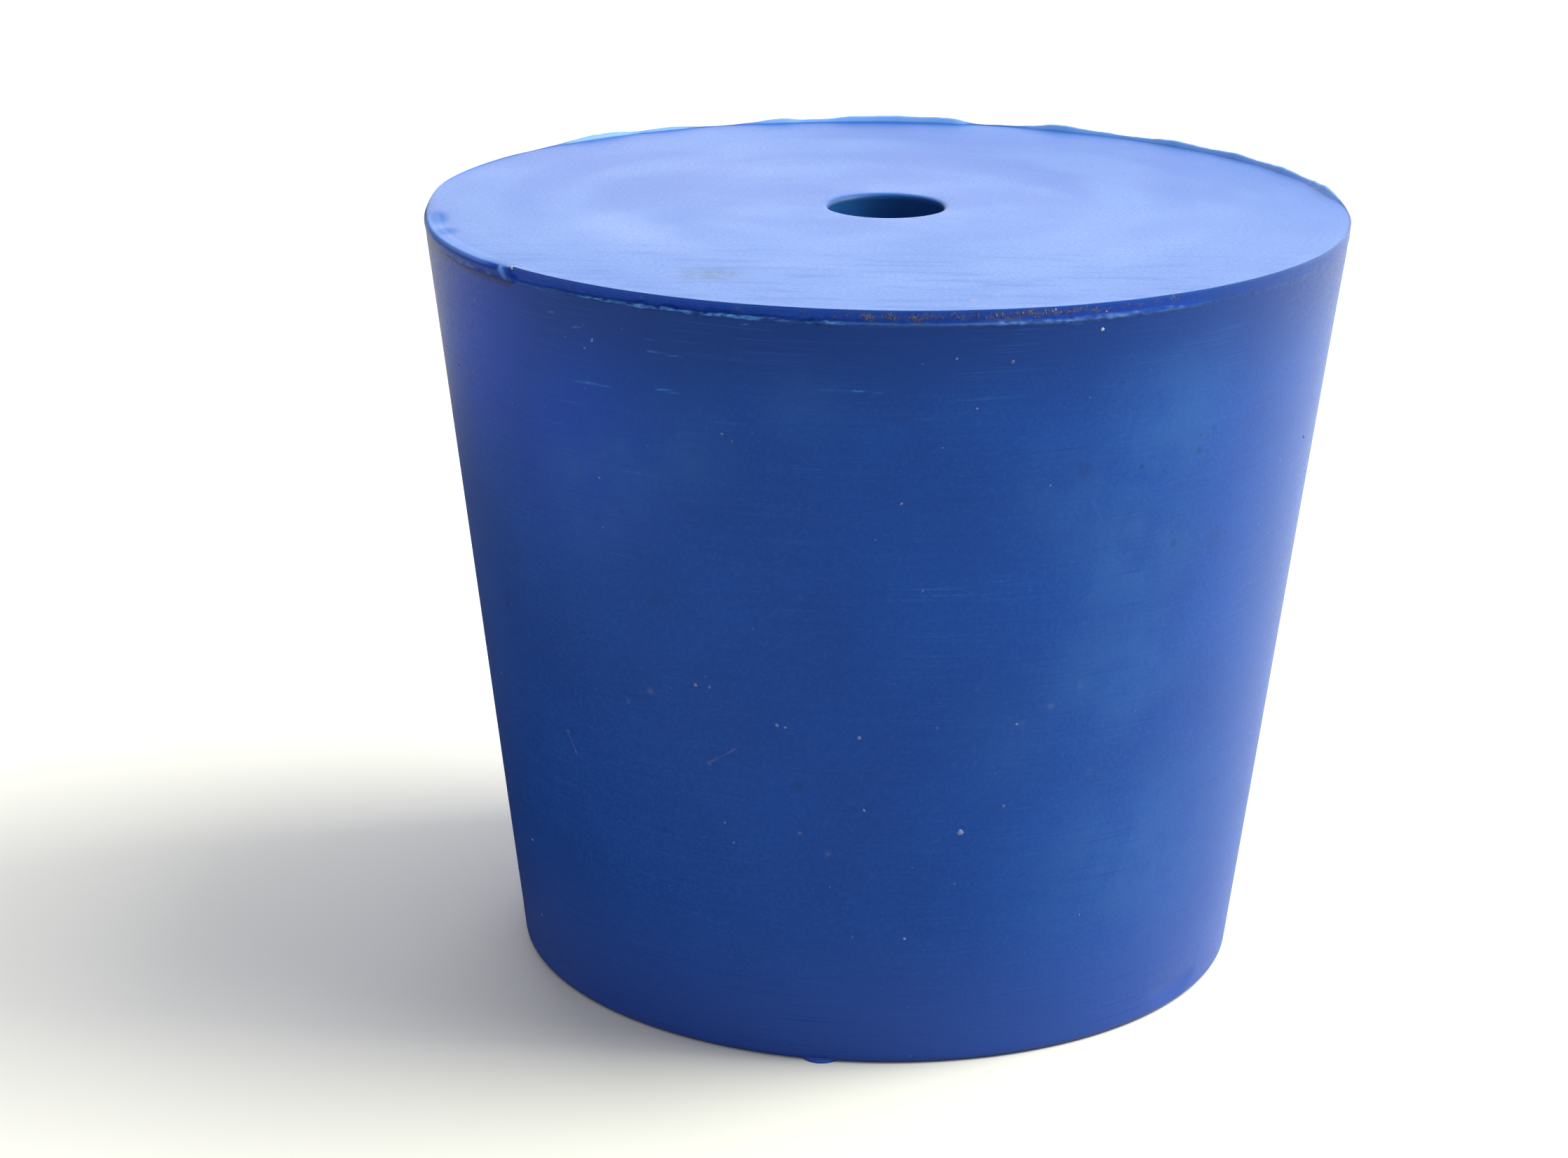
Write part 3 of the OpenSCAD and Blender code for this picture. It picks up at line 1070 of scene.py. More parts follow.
# The stain, the smear beside it and the tan flecks: x, y, half sizes and turn
STAIN = (-10.5, -21.0, 3.0, 2.7, 8)
SMEAR = (-12.6, -21.0, 0.8, 0.22, 24)
FLECKS = [(5.2, -26.8, 0.5), (6.6, -25.3, 0.35), (4.3, -26.2, 0.3), (0.2, -26.6, 0.3)]
# The arc that was wiped clean: its radius and half width, how far it wobbles,
# and the middle and half sizes of the part of the top where it shows
ARC_R, ARC_W, ARC_WOBBLE = 18.5, 4.0, 6.0
ARC_SHOWS = (-14, -12, 17, 14, 0)


def top_spot(tree, in_mm, mark, core=0.3):
    """A spot on the flat top. The mark is x, y, half sizes and turn."""
    x, y, wide, long, turn = mark
    return spot(tree, in_mm, (x, y, HEIGHT), (wide, long, 1), turn, core=core)


def wiped_arc(tree, in_mm, from_axis):
    """1 along an arc round the hole, a little off the true circle."""
    wobble = noise(tree, in_mm, 0.10, 2.0)
    radius = math_node(tree, "MULTIPLY_ADD", wobble, ARC_WOBBLE, from_axis)
    off = math_node(tree, "SUBTRACT", radius, ARC_R + ARC_WOBBLE / 2)
    away = math_node(tree, "ABSOLUTE", off)
    return both(tree, ramp(tree, away, ARC_W, 0), top_spot(tree, in_mm, ARC_SHOWS, 0.4))


def rubbed_mask(tree, in_mm):
    """Where the top was rubbed dull, so that it mirrors less and looks bluer."""
    masks = [both(tree, top_spot(tree, in_mm, mark, 0.2), much) for *mark, much in SMUDGES]
    return strongest(tree, masks)


def top_marks(tree, in_mm, from_axis):
    """The masks that the colour and the gloss of the flat top share."""
    along_x, along_y = add(tree, "SeparateXYZ", Vector=in_mm).outputs[:2]
    patchy = ramp(tree, noise(tree, in_mm, 1.3, 3.0), 0.30, 0.6)
    wiped = noise(tree, in_mm, 1.0, 3.0, 0.6, stretch=(0.18, 1.0, 1), turn=-12)
    across = math_node(tree, "MULTIPLY_ADD", along_x, 0.7, along_y)
    return {
        "front": ramp(tree, along_y, 18, -18, 0.4, 1.0),
        "back": ramp(tree, across, 4, 34),
        "patchy": patchy,
        "clouds": noise(tree, in_mm, 0.14, 4.0, 0.6),
        "arcs": ramp(tree, round_the_axis(tree, in_mm, from_axis, 1.1, 0.16), 0.4, 0.64),
        "clean_arc": wiped_arc(tree, in_mm, from_axis),
        "streaks": both(tree, ramp(tree, wiped, 0.48, 0.66), ramp(tree, along_y, -8, -20)),
        "stain": both(tree, top_spot(tree, in_mm, STAIN, 0.2), patchy),
        "rubbed": rubbed_mask(tree, in_mm),
    }


print("the wiped arc has a radius of", ARC_R, "mm")

# %% Give the top its colour and gloss
# How much each mark on the top adds to the roughness, on top of a base
TOP_DULLER = {
    "back": 0.08, "clouds": 0.08, "arcs": -0.02, "clean_arc": -0.035,
    "streaks": 0.035, "stain": 0.06, "rubbed": 0.2,
}
TOP_DULL = -0.03


def top_colour(tree, colour, in_mm, marks):
    """The colour of the flat top: film, wipe marks, the stain and tan flecks."""
    smear = top_spot(tree, in_mm, SMEAR)
    layers = [
        (both(tree, marks["arcs"], 0.5), FILM_BLUE),
        # The top is also made paler towards the front
        (both(tree, marks["front"], 0.7), FILM_BLUE),
        (both(tree, marks["streaks"], 0.2), RUBBER_DEEP),
        (both(tree, marks["stain"], 0.7), STAIN_GREY),
        (both(tree, smear, marks["patchy"], 0.3), CREAM),
    ]
    for x, y, half in FLECKS:
        fleck = top_spot(tree, in_mm, (x, y, half, half, 0))
        layers.append((both(tree, fleck, marks["patchy"], 0.35), TAN))
    return paint(tree, colour, layers)


def top_dullness(tree, marks):
    """What the top adds to the roughness: the base, and each mark times its share."""
    total = TOP_DULL
    for name, duller in TOP_DULLER.items():
        total = math_node(tree, "MULTIPLY_ADD", marks[name], duller, total)
    return total


print(len(TOP_DULLER), "marks change the gloss of the top")

# %% [markdown]
# The band was cut by a knife that was drawn along the rim, pressed down again
# and again, so it has fine upright scores and is a little glossier and deeper
# in colour than the skin of the mould. Where the ridge tore, air lies between
# the fibres and the blue turns pale. Both finishes follow numbers that were
# kept on the mesh's points while the rim was shaped, so they can't slip off
# it.

# %% Colours of the rubber
RUBBER = (0.006, 0.079, 0.450, 1)
RUBBER_DEEP = (0.004, 0.057, 0.350, 1)
RUBBER_PALE = (0.022, 0.125, 0.530, 1)
# Painted dark reflection at the left of the wall
DARK_REFLECTION_BLUE = (0.010, 0.082, 0.700, 1)
# Pale haze, partly painted reflection
HAZE_AND_REFLECTION_BLUE = (0.034, 0.145, 0.510, 1)
# Painted reflection of the table on the foot of the wall
FOOT_REFLECTION = (0.032, 0.092, 0.460, 1)
# Painted shade on the wall under the rim
RIM_SHADE_BLUE = (0.003, 0.042, 0.270, 1)
FILM_BLUE = (0.026, 0.136, 0.495, 1)
CUT_BLUE = (0.001, 0.064, 0.540, 1)
# Painted glow of light through the thin rubber under the top edge
EDGE_GLOW_BLUE = (0.006, 0.100, 0.620, 1)
TORN_BLUE = (0.120, 0.350, 0.880, 1)
# A deeper blue for the band's mottle, and painted shade between torn fibres and under the bead
DEEP_BLUE_AND_SHADE = (0.006, 0.045, 0.260, 1)
# Pale torn rubber and painted highlights
PALE_AND_HIGHLIGHT_BLUE = (0.130, 0.300, 0.880, 1)
# Painted light on the inner face of the lip
LIP_PAINTED_LIGHT = (0.180, 0.390, 0.920, 1)
# Painted shade inside the hole
BORE_SHADE_BLUE = (0.004, 0.055, 0.200, 1)
# Dirt round the grit, and painted shade under the bead
GRIME_AND_SHADE = (0.030, 0.028, 0.080, 1)
GRIT_FILM = (0.150, 0.140, 0.150, 1)
SCRATCH_BLUE = (0.050, 0.250, 0.780, 1)
SPOT_BLUE = (0.003, 0.042, 0.180, 1)
DUST_BLUE = (0.170, 0.270, 0.560, 1)
STAIN_GREY = (0.045, 0.110, 0.260, 1)
CREAM = (0.420, 0.400, 0.360, 1)
TAN = (0.260, 0.190, 0.200, 1)
print("the skin's plain colour is", RUBBER[:3])

# %% [markdown]
# The wall's colour is plain blue with eight layers over it, from the broadest
# to the finest. Three of them paint reflection: a stronger blue at the left,
# haze that is partly painted reflection, and a pale reflection on the foot. The
# haze is patchy, and the lines of the mould come and go in groups, so each of
# those masks is multiplied by slow noise.

# %% Colour the wall
# The painted reflection on the foot of the wall fades out at this height
FOOT_REFLECTION_TOP = 12.0


def wall_colour(tree, colour, in_mm, height):
    """A stronger blue painted at the left as a dark reflection, haze that is partly
    painted reflection, a painted reflection on the foot, the lines of the mould,
    scratches, smears and spots over the plain blue."""
    cloudy = ramp(tree, noise(tree, in_mm, 0.25, 4.0, 0.6), 0.35, 0.6, 0.35, 1.0)
    lines = noise(tree, in_mm, 1.0, 3.0, stretch=(0.16, 0.16, 10))
    groups = noise(tree, in_mm, 0.11, 1.0)
    pale = both(tree, ramp(tree, lines, 0.54, 0.70), ramp(tree, groups, 0.40, 0.60), 0.4)
    dark = both(tree, ramp(tree, lines, 0.44, 0.30), ramp(tree, groups, 0.60, 0.42), 0.6)
    crumbs = ramp(tree, noise(tree, in_mm, 3.0, 3.0), 0.35, 0.6, 0.3, 1.0)
    layers = [
        # Painted dark reflection: a stronger blue at the left
        (balls_mask(tree, in_mm, LEFT_DARK_REFLECTION, 0.0), DARK_REFLECTION_BLUE),
        # Haze that is partly a film and partly painted reflection
        (both(tree, balls_mask(tree, in_mm, HAZE_AND_REFLECTIONS, 0.0), cloudy), HAZE_AND_REFLECTION_BLUE),
        # Painted reflection of the table on the foot of the wall
        (ramp(tree, height, FOOT_REFLECTION_TOP, 0.0, 0.0, 0.8), FOOT_REFLECTION),
        (pale, RUBBER_PALE),
        (dark, RUBBER_DEEP),
        (scratch_mask(tree, in_mm), SCRATCH_BLUE),
        (both(tree, balls_mask(tree, in_mm, SMEARS, 0.3), crumbs), DUST_BLUE),
        (balls_mask(tree, in_mm, SPOTS, 0.1), SPOT_BLUE),
    ]
    return paint(tree, colour, layers)


def dust(tree, in_mm):
    """Dust too fine to model: a point in some cells of a Voronoi pattern,
    each with a size and strength of its own."""
    cells = add(tree, "TexVoronoi", Vector=in_mm, Scale=0.8)
    lot = add(tree, "SeparateXYZ", Vector=cells.outputs["Color"])
    near = ramp(tree, cells.outputs["Distance"], 0.065, 0.025)
    picked = ramp(tree, lot.outputs["X"], 0.45, 0.75)
    return both(tree, near, picked, ramp(tree, lot.outputs["Y"], 0.0, 1.0, 0.1, 0.75))


print("wall colour ready")

# %% Colour the rim
# Stretch of the knife's scores on the band, and of the fibres of a tear
SCORES = (5, 5, 0.5)
FIBRES = (2.5, 2.5, 8)


def rim_colour(tree, colour, in_mm, height):
    """The cut band with a painted glow along its upper edge, the torn fibres, and painted shade
    and highlights.
    """
    cut = attribute(tree, "cut")
    scores = noise(tree, in_mm, 1.0, 3.0, 0.6, stretch=SCORES)
    mottle = noise(tree, in_mm, 4.5, 4.0, 0.7)
    fibres = noise(tree, in_mm, 1.0, 4.0, 0.7, stretch=FIBRES)
    film = blend(tree, ramp(tree, mottle, 0.42, 0.60), GRIME_AND_SHADE, GRIT_FILM)
    edge_glow = ramp(tree, height, HEIGHT - 0.16, HEIGHT - 0.05)
    layers = [
        (both(tree, cut, 0.8), CUT_BLUE),
        (both(tree, cut, ramp(tree, scores, 0.52, 0.72), 0.25), RUBBER_PALE),
        (both(tree, cut, ramp(tree, mottle, 0.46, 0.34), 0.6), DEEP_BLUE_AND_SHADE),
        (both(tree, cut, ramp(tree, mottle, 0.60, 0.74), 0.4), SCRATCH_BLUE),
        (both(tree, attribute(tree, "grit_film"), 0.7), film),
        # A painted glow just under the top edge, where light comes through the thin rubber
        (both(tree, cut, edge_glow, 0.7), EDGE_GLOW_BLUE),
        # Painted shade in the gaps between torn fibres and on the bead's underside
        (both(tree, attribute(tree, "hole"), ramp(tree, fibres, 0.60, 0.45)), DEEP_BLUE_AND_SHADE),
        (both(tree, attribute(tree, "torn"), ramp(tree, fibres, 0.36, 0.54)), TORN_BLUE),
        # Painted shade on the wall under the bead
        (both(tree, attribute(tree, "under_bead_shade"), 0.7), GRIME_AND_SHADE),
        # Painted light on the inner face of the lip
        (both(tree, attribute(tree, "thin"), 0.85), LIP_PAINTED_LIGHT),
        # Pale torn rubber and painted highlights on the fold, the lobes, the bead's shoulder, the
        # top edge and the ridge's crest
        (both(tree, attribute(tree, "pale"), 0.9), PALE_AND_HIGHLIGHT_BLUE),
    ]
    return paint(tree, colour, layers)


print("rim colour ready")

# %% [markdown]
# Grain, mould lines and scores are a few hundredths of a millimetre deep at
# most, too fine for the mesh. They are a height that the shader turns into
# bumps. The finish is then put together: the flat top and the wall take their
# own colours by their place, the hole is darkened with painted shade, and the
# rim's layers lie over all.

# %% Raise the fine relief


def rubber_height(tree, in_mm, top):
    """The relief in mm: grain, mould lines, scores of the knife and fibres."""
    grain = noise(tree, in_mm, 3.5, 3.0, 0.6)
    lines = noise(tree, in_mm, 1.0, 2.0, stretch=(0.12, 0.12, 5))
    scores = noise(tree, in_mm, 1.0, 2.0, stretch=SCORES)
    fibres = noise(tree, in_mm, 1.0, 4.0, 0.7, stretch=FIBRES)
    parts = [
        (grain, ramp(tree, top, 0.0, 1.0, 0.010, 0.003)),
        (both(tree, lines, math_node(tree, "SUBTRACT", 1.0, top)), 0.010),
        (both(tree, scores, attribute(tree, "cut")), 0.008),
        (both(tree, fibres, attribute(tree, "torn")), 0.060),
    ]
    total = 0.0
    for mask, tall in parts:
        total = math_node(tree, "MULTIPLY_ADD", mask, tall, total)
    return total


print("relief ready")

# %% Put the rubber together
# Roughness of the skin's grain from pits to peaks, what a tear adds to it, and
# how much of a clean surface's gloss the dusty skin has left
SKIN_ROUGH = (0.36, 0.48)
TORN_DULLER = 0.3
DULL_SPECULAR = 0.2
RUBBER_IOR = 1.5


def rubber_material():
    """Dull blue rubber with its marks, each layer over the one before."""
    material, tree, shader = new_material("blue_rubber")
    in_mm, height, from_axis = millimetres(tree)
    top = both(
        tree,
        ramp(tree, height, HEIGHT - 0.2, HEIGHT - 0.03),
        ramp(tree, from_axis, TOP_R + 0.02, TOP_R - 0.1),
    )
    clouds = noise(tree, in_mm, 0.13, 3.0)
    grain = noise(tree, in_mm, 4.0, 4.0, 0.75)
    skin = [
        (ramp(tree, clouds, 0.3, 0.7, 0.0, 0.5), RUBBER_DEEP),
        (ramp(tree, grain, 0.5, 0.66, 0.0, 0.45), RUBBER_PALE),
        (ramp(tree, grain, 0.48, 0.32, 0.0, 0.8), RUBBER_DEEP),
    ]
    colour = paint(tree, RUBBER, skin)
    # Painted shade: the wall darkens towards the rim, under the overhang of the ridge
    clean = ramp(tree, height, HEIGHT - 8, HEIGHT - 1, 0.0, 0.8)
    side = wall_colour(tree, blend(tree, clean, colour, RIM_SHADE_BLUE), in_mm, height)
    marks = top_marks(tree, in_mm, from_axis)
    face = top_colour(tree, colour, in_mm, marks)
    # Painted shade inside the hole
    side = blend(tree, ramp(tree, from_axis, 1.12 * BORE_R, BORE_R, 0.0, 0.8), side, BORE_SHADE_BLUE)
    colour = blend(tree, dust(tree, in_mm), blend(tree, top, side, face), DUST_BLUE)
    colour = rim_colour(tree, colour, in_mm, height)
    tree.links.new(colour, shader.inputs["Base Color"])

    dull = ramp(tree, grain, 0.3, 0.7, *SKIN_ROUGH)
    dull = math_node(tree, "MULTIPLY_ADD", attribute(tree, "torn"), TORN_DULLER, dull)
    dull = math_node(tree, "MULTIPLY_ADD", top, top_dullness(tree, marks), dull)
    tree.links.new(dull, shader.inputs["Roughness"])
    relief = rubber_height(tree, in_mm, top)
    bump = add(tree, "Bump", Height=relief, Distance=MM, Strength=1.0)
    tree.links.new(bump.outputs[0], shader.inputs["Normal"])
    shader.inputs["IOR"].default_value = RUBBER_IOR
    shader.inputs["Specular IOR Level"].default_value = DULL_SPECULAR
    return material


stopper_mesh.materials.append(rubber_material())
print("rubber has", len(stopper_mesh.materials[0].node_tree.nodes), "nodes")

# %% [markdown]
# ## Dirt
#
# Grit sticks to the cut band, because fresh-cut rubber is tacky, and grains of
# dust cling to the wall. A grain seen close has a lit side and a dark side, so
# the larger ones are modelled. One lump is a ball of a few dozen faces whose
# points are pushed in and out. It is copied to every place, turned, stretched
# and sunk a little into the surface.

# %% A lump of grit
LUMP_RINGS = 5
LUMP_SIDES = 8


def lump_shape():
    """Points and faces of a unit ball: two poles and rings between them."""
    up = np.radians(np.linspace(-90, 90, LUMP_RINGS + 2)[1:-1])
    around_it = np.linspace(0, 2 * np.pi, LUMP_SIDES, endpoint=False)
    ring = np.stack(
        [
            np.cos(up)[:, None] * np.cos(around_it),
            np.cos(up)[:, None] * np.sin(around_it),
            np.broadcast_to(np.sin(up)[:, None], (LUMP_RINGS, LUMP_SIDES)),
        ],
        -1,
    ).reshape(-1, 3)
    points = np.concatenate([ring, [[0, 0, -1], [0, 0, 1]]])
    j = np.arange(LUMP_SIDES)
    beside = (j + 1) % LUMP_SIDES
    last = (LUMP_RINGS - 1) * LUMP_SIDES
    bottom = np.stack([beside, j, np.full(LUMP_SIDES, len(ring))], 1)
    top = np.stack([last + j, last + beside, np.full(LUMP_SIDES, len(ring) + 1)], 1)
    return points, stack_faces(0, LUMP_RINGS, LUMP_SIDES), np.concatenate([bottom, top])


print("a lump has", len(lump_shape()[0]), "points")

# %% Copies of the lump


def grit(name, places, outward, sizes, tones, seed, crag=0.22):
    """Copies of the lump at places in mm, flattened along the outward
    direction. sizes are half sizes (along the rim, out, up), and each copy's
    points are pushed by crag times random numbers to make it craggy."""
    rng = np.random.default_rng(seed)
    unit, quads, caps = lump_shape()
    count = len(places)
    shape = unit[None] * (1 + crag * rng.standard_normal((count, len(unit), 1)).clip(-1.5, 1.5))
    spin = rng.uniform(-0.6, 0.6, count)
    wide = shape[..., 0] * sizes[:, :1]
    tall = shape[..., 2] * sizes[:, 2:]
    across = wide * np.cos(spin)[:, None] - tall * np.sin(spin)[:, None]
    up = wide * np.sin(spin)[:, None] + tall * np.cos(spin)[:, None]
    out_of = (shape[..., 1] * sizes[:, 1:2])[..., None]
    side = np.cross([0, 0, 1], outward)
    side /= np.linalg.norm(side, axis=1, keepdims=True)
    rise = np.cross(outward, side)
    points = places[:, None] + outward[:, None] * out_of
    points = points - side[:, None] * across[..., None] + rise[:, None] * up[..., None]
    first = (np.arange(count) * len(unit))[:, None, None]
    blocks = [(quads + first).reshape(-1, 4), (caps + first).reshape(-1, 3)]
    mesh = mesh_from_blocks(name, points.reshape(-1, 3), blocks)
    point_values(mesh, "tone", np.repeat(tones, len(unit)))
    piece = put(name, mesh)
    print(name, count, "grains,", sum(len(p.vertices) - 2 for p in mesh.polygons), "triangles")
    return piece


def on_cone(angle, z, sunk):
    """Places (count, 3) on the wall, this far in, and the directions out."""
    a = np.radians(angle)
    lean = math.radians(taper)
    around_it = np.stack([np.cos(a), np.sin(a), np.zeros(len(a))], 1)
    outward = around_it * math.cos(lean) - np.array([0, 0, math.sin(lean)])
    places = around_it * wall_r(z)[:, None] + np.array([0, 0, 1]) * z[:, None]
    return places - outward * sunk[:, None], outward


print("grit helpers ready")

# %% [markdown]
# The grit lies in small heaps, thickest at the front. Each heap is a few
# flakes, most of them upright like the scores that hold them. The numbers
# below are the middles of the heaps, and the flakes are scattered round them
# by seeded random numbers. Its colour runs from brown through tan to white.

# %% List the heaps of grit
# Heaps: angle, height below the top edge, flakes, tone from brown 0 to white 1
HEAPS = [
    (-92.1, 0.30, 12, 0.50), (-91.4, 0.46, 8, 0.55), (-89.6, 0.26, 16, 0.40),
    (-88.9, 0.40, 8, 0.45), (-86.8, 0.36, 12, 0.50), (-86.2, 0.56, 9, 0.40),
    (-85.0, 0.26, 9, 0.35), (-83.9, 0.40, 5, 0.30), (-82.3, 0.22, 7, 0.45),
    (-81.2, 0.42, 5, 0.50), (-79.8, 0.30, 7, 0.45), (-78.2, 0.48, 5, 0.40),
    (-77.2, 0.28, 13, 0.50), (-76.1, 0.50, 9, 0.35), (-75.0, 0.34, 14, 0.45),
    (-74.0, 0.24, 12, 0.60), (-73.5, 0.06, 6, 0.55), (-72.7, 0.42, 8, 0.40),
    (-71.6, 0.22, 8, 0.50), (-70.6, 0.32, 9, 0.75), (-69.2, 0.36, 8, 0.35),
    (-68.3, 0.24, 6, 0.45), (-67.4, 0.18, 6, 0.60), (-65.8, 0.36, 8, 0.50),
    (-64.2, 0.46, 4, 0.90), (-62.0, 0.25, 4, 0.40), (-60.2, 0.34, 3, 0.40),
    (-58.2, 0.20, 3, 0.45), (-55.4, 0.14, 8, 0.55), (-106.4, 0.25, 4, 0.10),
    (-98.8, 0.30, 2, 0.25), (-95.5, 0.42, 3, 0.30), (-94.0, 0.24, 3, 0.35),
    (-102.0, 0.30, 1, 0.20), (-111.5, 0.22, 1, 0.20), (-118.0, 0.20, 2, 0.15),
    (-128.4, 0.30, 1, 0.25), (-139.3, 0.10, 2, 0.30), (-20.0, 0.30, 3, 0.40),
    (15.0, 0.35, 5, 0.50), (48.0, 0.30, 6, 0.45), (75.0, 0.40, 4, 0.35),
    (103.0, 0.30, 7, 0.55), (128.0, 0.35, 5, 0.40),
]
print(len(HEAPS), "heaps")

# %% Put grit on the cut band
HEAP_TURN = 0.55
HEAP_TALL = 0.07
FLAKE_HALF = (0.036, 0.026, 0.066)

rng = np.random.default_rng(61)
heap = np.repeat(np.array(HEAPS), [h[2] for h in HEAPS], 0)
flakes = len(heap)
flake_turn = heap[:, 0] + HEAP_TURN * rng.uniform(-1, 1, flakes)
flake_down = np.clip(heap[:, 1] + HEAP_TALL * rng.standard_normal(flakes), 0.08, 0.6)
flake_tone = np.clip(heap[:, 3] + 0.15 * rng.standard_normal(flakes), 0, 1)
band_lean = BAND_IN / BAND_H
a = np.radians(flake_turn)
flake_out = np.stack([np.cos(a), np.sin(a), np.full(flakes, -band_lean)], 1)
flake_out /= np.linalg.norm(flake_out, axis=1, keepdims=True)
band_r = TOP_R - 0.02 - band_lean * flake_down
flake_at = np.stack([band_r * np.cos(a), band_r * np.sin(a), HEIGHT - flake_down], 1)
flake_size = np.array(FLAKE_HALF) * rng.uniform(0.3, 1.6, (flakes, 3))
rim_grit = grit("rim_grit", flake_at, flake_out, flake_size, flake_tone, 62)

# %% [markdown]
# Round each heap the band is smudged with dirt too fine to be grains. The
# smudge is a number on the rim's points: a sum of soft round spots, one for
# each heap, and stronger where the heap is large.

# %% Smudge the band round the heaps
SMUDGE_W, SMUDGE_H = 0.32, 0.20
SMUDGE_FULL = 10
smudge = np.zeros((RIM_ROWS, FINE))
for heap_turn, heap_down, heap_flakes, _ in HEAPS:
    beside = np.radians(fine_turns - heap_turn) * TOP_R / SMUDGE_W
    below = (HEIGHT - rim_rz[1] - heap_down) / SMUDGE_H
    smudge += min(heap_flakes / SMUDGE_FULL, 1) * np.exp(-(beside**2) - below**2)
smudge = np.clip(smudge, 0, 1) * window(row, 10, 20, 2)
point_values(stopper_mesh, "grit_film", np.concatenate([smudge.ravel(), rest]))
print("smudged share of the rim:", round(float((smudge > 0.3).mean()), 3))

# %% [markdown]
# Dust on the wall is single grains. The ones that show most have a place of
# their own, and the rest are scattered over the sides and the back by seeded
# random numbers. Most are soft and flat, so they are spread a little wider.

# %% Put dust on the wall
# Grains: angle, height, half size, tone
GRAINS = [
    (-64.8, 48.4, 0.135, 0.95), (-81.8, 47.1, 0.06, 0.85), (-79.2, 44.0, 0.06, 0.85),
    (-125.7, 46.6, 0.07, 0.9), (-127.0, 46.0, 0.06, 0.75), (-108.9, 41.9, 0.07, 0.85),
    (-87.6, 38.1, 0.07, 0.85), (-114.2, 25.3, 0.10, 0.85), (-103.1, 23.3, 0.09, 0.85),
    (-92.3, 22.8, 0.09, 0.85), (-71.7, 23.4, 0.07, 0.8), (-91.6, 17.9, 0.08, 0.9),
    (-72.7, 17.9, 0.07, 0.6), (-78.5, 16.3, 0.15, 0.8), (-85.7, 9.0, 0.08, 0.8),
    (-111.0, 16.2, 0.08, 0.8), (-59.3, 9.4, 0.07, 0.5), (-75.4, 46.8, 0.10, 0.55),
    (-84.8, 32.5, 0.07, 0.4), (-100.3, 16.1, 0.10, 0.4), (-125.8, 46.5, 0.05, 0.8),
    (-119.9, 43.4, 0.05, 0.5), (-126.5, 37.8, 0.06, 0.8), (-126.7, 34.6, 0.07, 0.7),
    (-118.8, 40.5, 0.035, 0.7), (-112.2, 25.3, 0.08, 0.7), (-102.0, 23.2, 0.07, 0.8),
    (-90.6, 35.8, 0.04, 0.7), (-83.0, 41.6, 0.04, 0.7), (-69.7, 38.9, 0.045, 0.7),
    (-109.8, 14.9, 0.06, 0.7), (-114.3, 14.9, 0.06, 0.5), (-121.2, 24.3, 0.09, 0.6),
    (-149.2, 26.8, 0.09, 0.1), (-96.5, 14.8, 0.08, 0.5), (-125.0, 23.2, 0.07, 0.5),
    (-138.3, 49.97, 0.08, 0.95),
]
SCATTERED = 70
# The first grain is hard and round, and the others are soft and spread out
DUST_SPREAD = 1.5

loose = np.random.default_rng(71)
elsewhere = np.stack(
    [
        loose.uniform(-30, 215, SCATTERED),
        loose.uniform(2, 47, SCATTERED),
        0.045 + 0.05 * loose.random(SCATTERED) ** 3,
        loose.uniform(0.3, 1.0, SCATTERED),
    ],
    1,
)
grains = np.concatenate([np.array(GRAINS), elsewhere])
grain_at, grain_out = on_cone(grains[:, 0], grains[:, 1], 0.25 * grains[:, 2])
grain_size = grains[:, 2:3] * loose.uniform(0.75, 1.2, (len(grains), 3)) * [1.0, 0.6, 0.9]
grain_size[0] = 0.9 * grains[0, 2]
grain_size[1:] *= DUST_SPREAD
wall_dust = grit("wall_dust", grain_at, grain_out, grain_size, grains[:, 3], 72, 0.12)

# %% [markdown]
# Two short hairs of lint cling low on the wall, at the left of the middle.
# Each is a thin flat tube along a gentle curve, thicker at its first end, and
# its underside is sunk in the rubber, so that it doesn't float. Both are made
# by one function and then joined.

# %% Lay the lint
# Hairs: angle and height of both ends, radius
HAIRS = [((-113.1, 20.05), (-108.7, 21.5), 0.13), ((-137.7, 19.8), (-136.1, 18.1), 0.12)]
HAIR_STEPS, HAIR_SIDES = 40, 8
HAIR_BEND = 0.05
HAIR_FLAT = 0.5


def hair(start, end, radius):
    """Rings (steps, sides, 3) round points on a curve along the wall. The
    ring's radius tapers and swells, and the ends close to a point."""
    t = np.linspace(0, 1, HAIR_STEPS)
    angle = start[0] + (end[0] - start[0]) * t
    z = start[1] + (end[1] - start[1]) * (t + HAIR_BEND * np.sin(2 * np.pi * t) * t)
    centre, out_of = on_cone(angle, z, np.full(HAIR_STEPS, -0.1 * radius))
    along = np.gradient(centre, axis=0)
    along /= np.linalg.norm(along, axis=1, keepdims=True)
    across = np.cross(out_of, along)
    thick = radius * (0.55 + 0.15 * np.sin(9 * t) + 0.9 * np.exp(-(((t - 0.06) / 0.07) ** 2)))
    thick = thick * np.sqrt(np.clip(np.minimum(t, 1 - t) * 30, 0.0004, 1))
    turn = np.linspace(0, 2 * np.pi, HAIR_SIDES, endpoint=False)[None, :, None]
    ring = HAIR_FLAT * out_of[:, None] * np.cos(turn) + across[:, None] * np.sin(turn)
    return centre[:, None] + thick[:, None, None] * ring


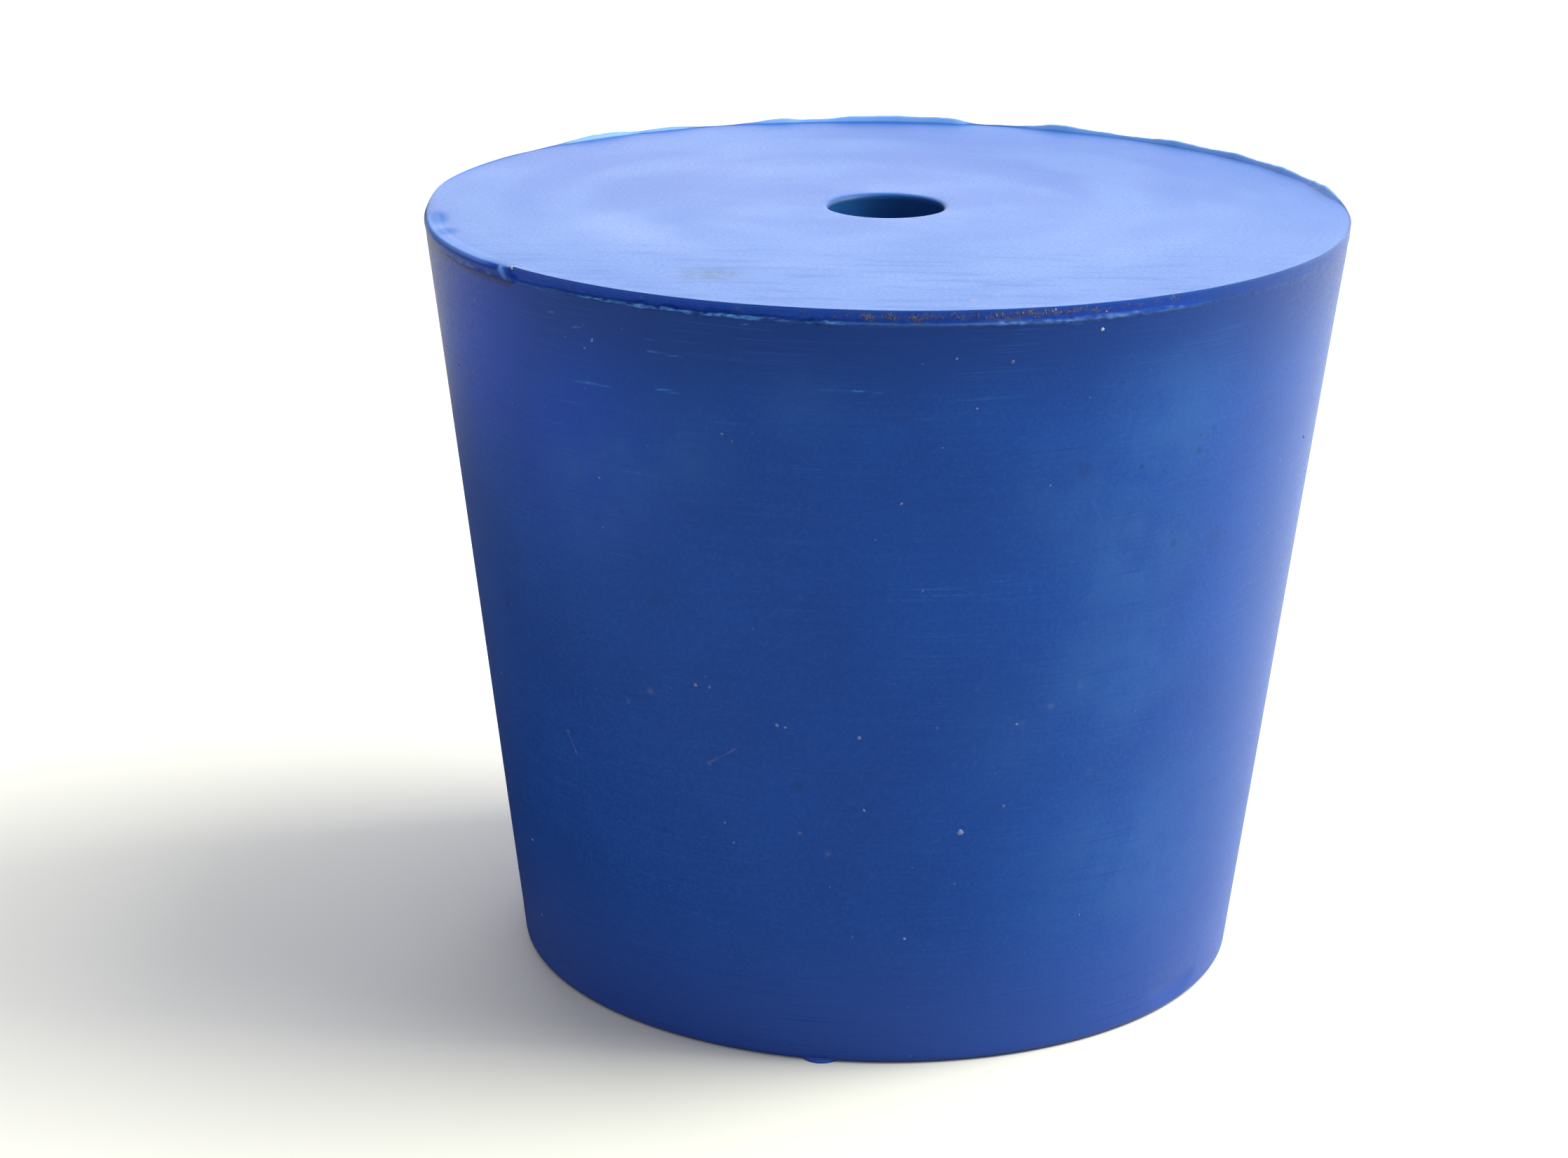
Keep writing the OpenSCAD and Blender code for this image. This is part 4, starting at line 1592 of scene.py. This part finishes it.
def lint_hairs():
    """All hairs as one piece, each with its two ends closed."""
    points, blocks = [], []
    last = (HAIR_STEPS - 1) * HAIR_SIDES
    ends = np.array([range(HAIR_SIDES)[::-1], range(last, last + HAIR_SIDES)])
    for n, (start, end, radius) in enumerate(HAIRS):
        first = n * HAIR_STEPS * HAIR_SIDES
        points.append(hair(start, end, radius).reshape(-1, 3))
        blocks += [stack_faces(first, HAIR_STEPS, HAIR_SIDES), ends + first]
    mesh = mesh_from_blocks("lint", np.concatenate(points), blocks)
    return put("lint", mesh)


lint = lint_hairs()
print("lint", len(lint.data.vertices), "points")

# %% [markdown]
# Grains run from brown through tan to white. Few of them are clean: rubber
# dust sticks to them and gives them some of its blue. Each grain's tone, kept
# on its points, says which colour it has and how much blue veils it.

# %% Finish the dirt
GRIT_ROUGH = 0.45
LINT_ROUGH = 0.8
BROWN_GRIT = (0.095, 0.075, 0.070, 1)
TAN_GRIT = (0.250, 0.232, 0.212, 1)
WHITE_GRIT = (0.560, 0.620, 0.720, 1)
LINT_GREY = (0.130, 0.180, 0.500, 1)
# How much of the rubber's blue comes through the grains, and the tone from
# which a grain is clean
GRIT_VEIL, GRIT_CLEAN = 0.45, 0.8
DUST_VEIL, DUST_CLEAN = 0.68, 0.94


def grit_material(name, veil, clean):
    """Grains from brown through tan to white, by their tone, with the rubber's
    blue veiling those below the tone clean."""
    material, tree, shader = new_material(name)
    in_mm = millimetres(tree)[0]
    tone = attribute(tree, "tone")
    rough = noise(tree, in_mm, 12.0, 3.0)
    layers = [
        (ramp(tree, tone, 0.05, 0.45), TAN_GRIT),
        (ramp(tree, rough, 0.5, 0.7, 0.0, 0.4), BROWN_GRIT),
        (ramp(tree, tone, 0.6, 0.8), WHITE_GRIT),
        (ramp(tree, tone, clean, clean - 0.03, 0.0, veil), RUBBER),
    ]
    tree.links.new(paint(tree, BROWN_GRIT, layers), shader.inputs["Base Color"])
    shader.inputs["Roughness"].default_value = GRIT_ROUGH
    bump = add(tree, "Bump", Height=rough, Distance=0.02 * MM, Strength=1.0)
    tree.links.new(bump.outputs[0], shader.inputs["Normal"])
    return material


def lint_material():
    """Grey fibre with the rubber's blue showing through in places."""
    material, tree, shader = new_material("lint")
    in_mm = millimetres(tree)[0]
    streaks = noise(tree, in_mm, 6.0, 2.0)
    tree.links.new(blend(tree, streaks, RUBBER, LINT_GREY), shader.inputs["Base Color"])
    shader.inputs["Roughness"].default_value = LINT_ROUGH
    shader.inputs["Specular IOR Level"].default_value = DULL_SPECULAR
    return material


rim_grit.data.materials.append(grit_material("grit", GRIT_VEIL, GRIT_CLEAN))
wall_dust.data.materials.append(grit_material("dust", DUST_VEIL, DUST_CLEAN))
lint.data.materials.append(lint_material())
print("dirt ready")

# %% Join the frame
for piece in (stopper, rim_grit, wall_dust, lint):
    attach(piece, "root")
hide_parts("stopper")
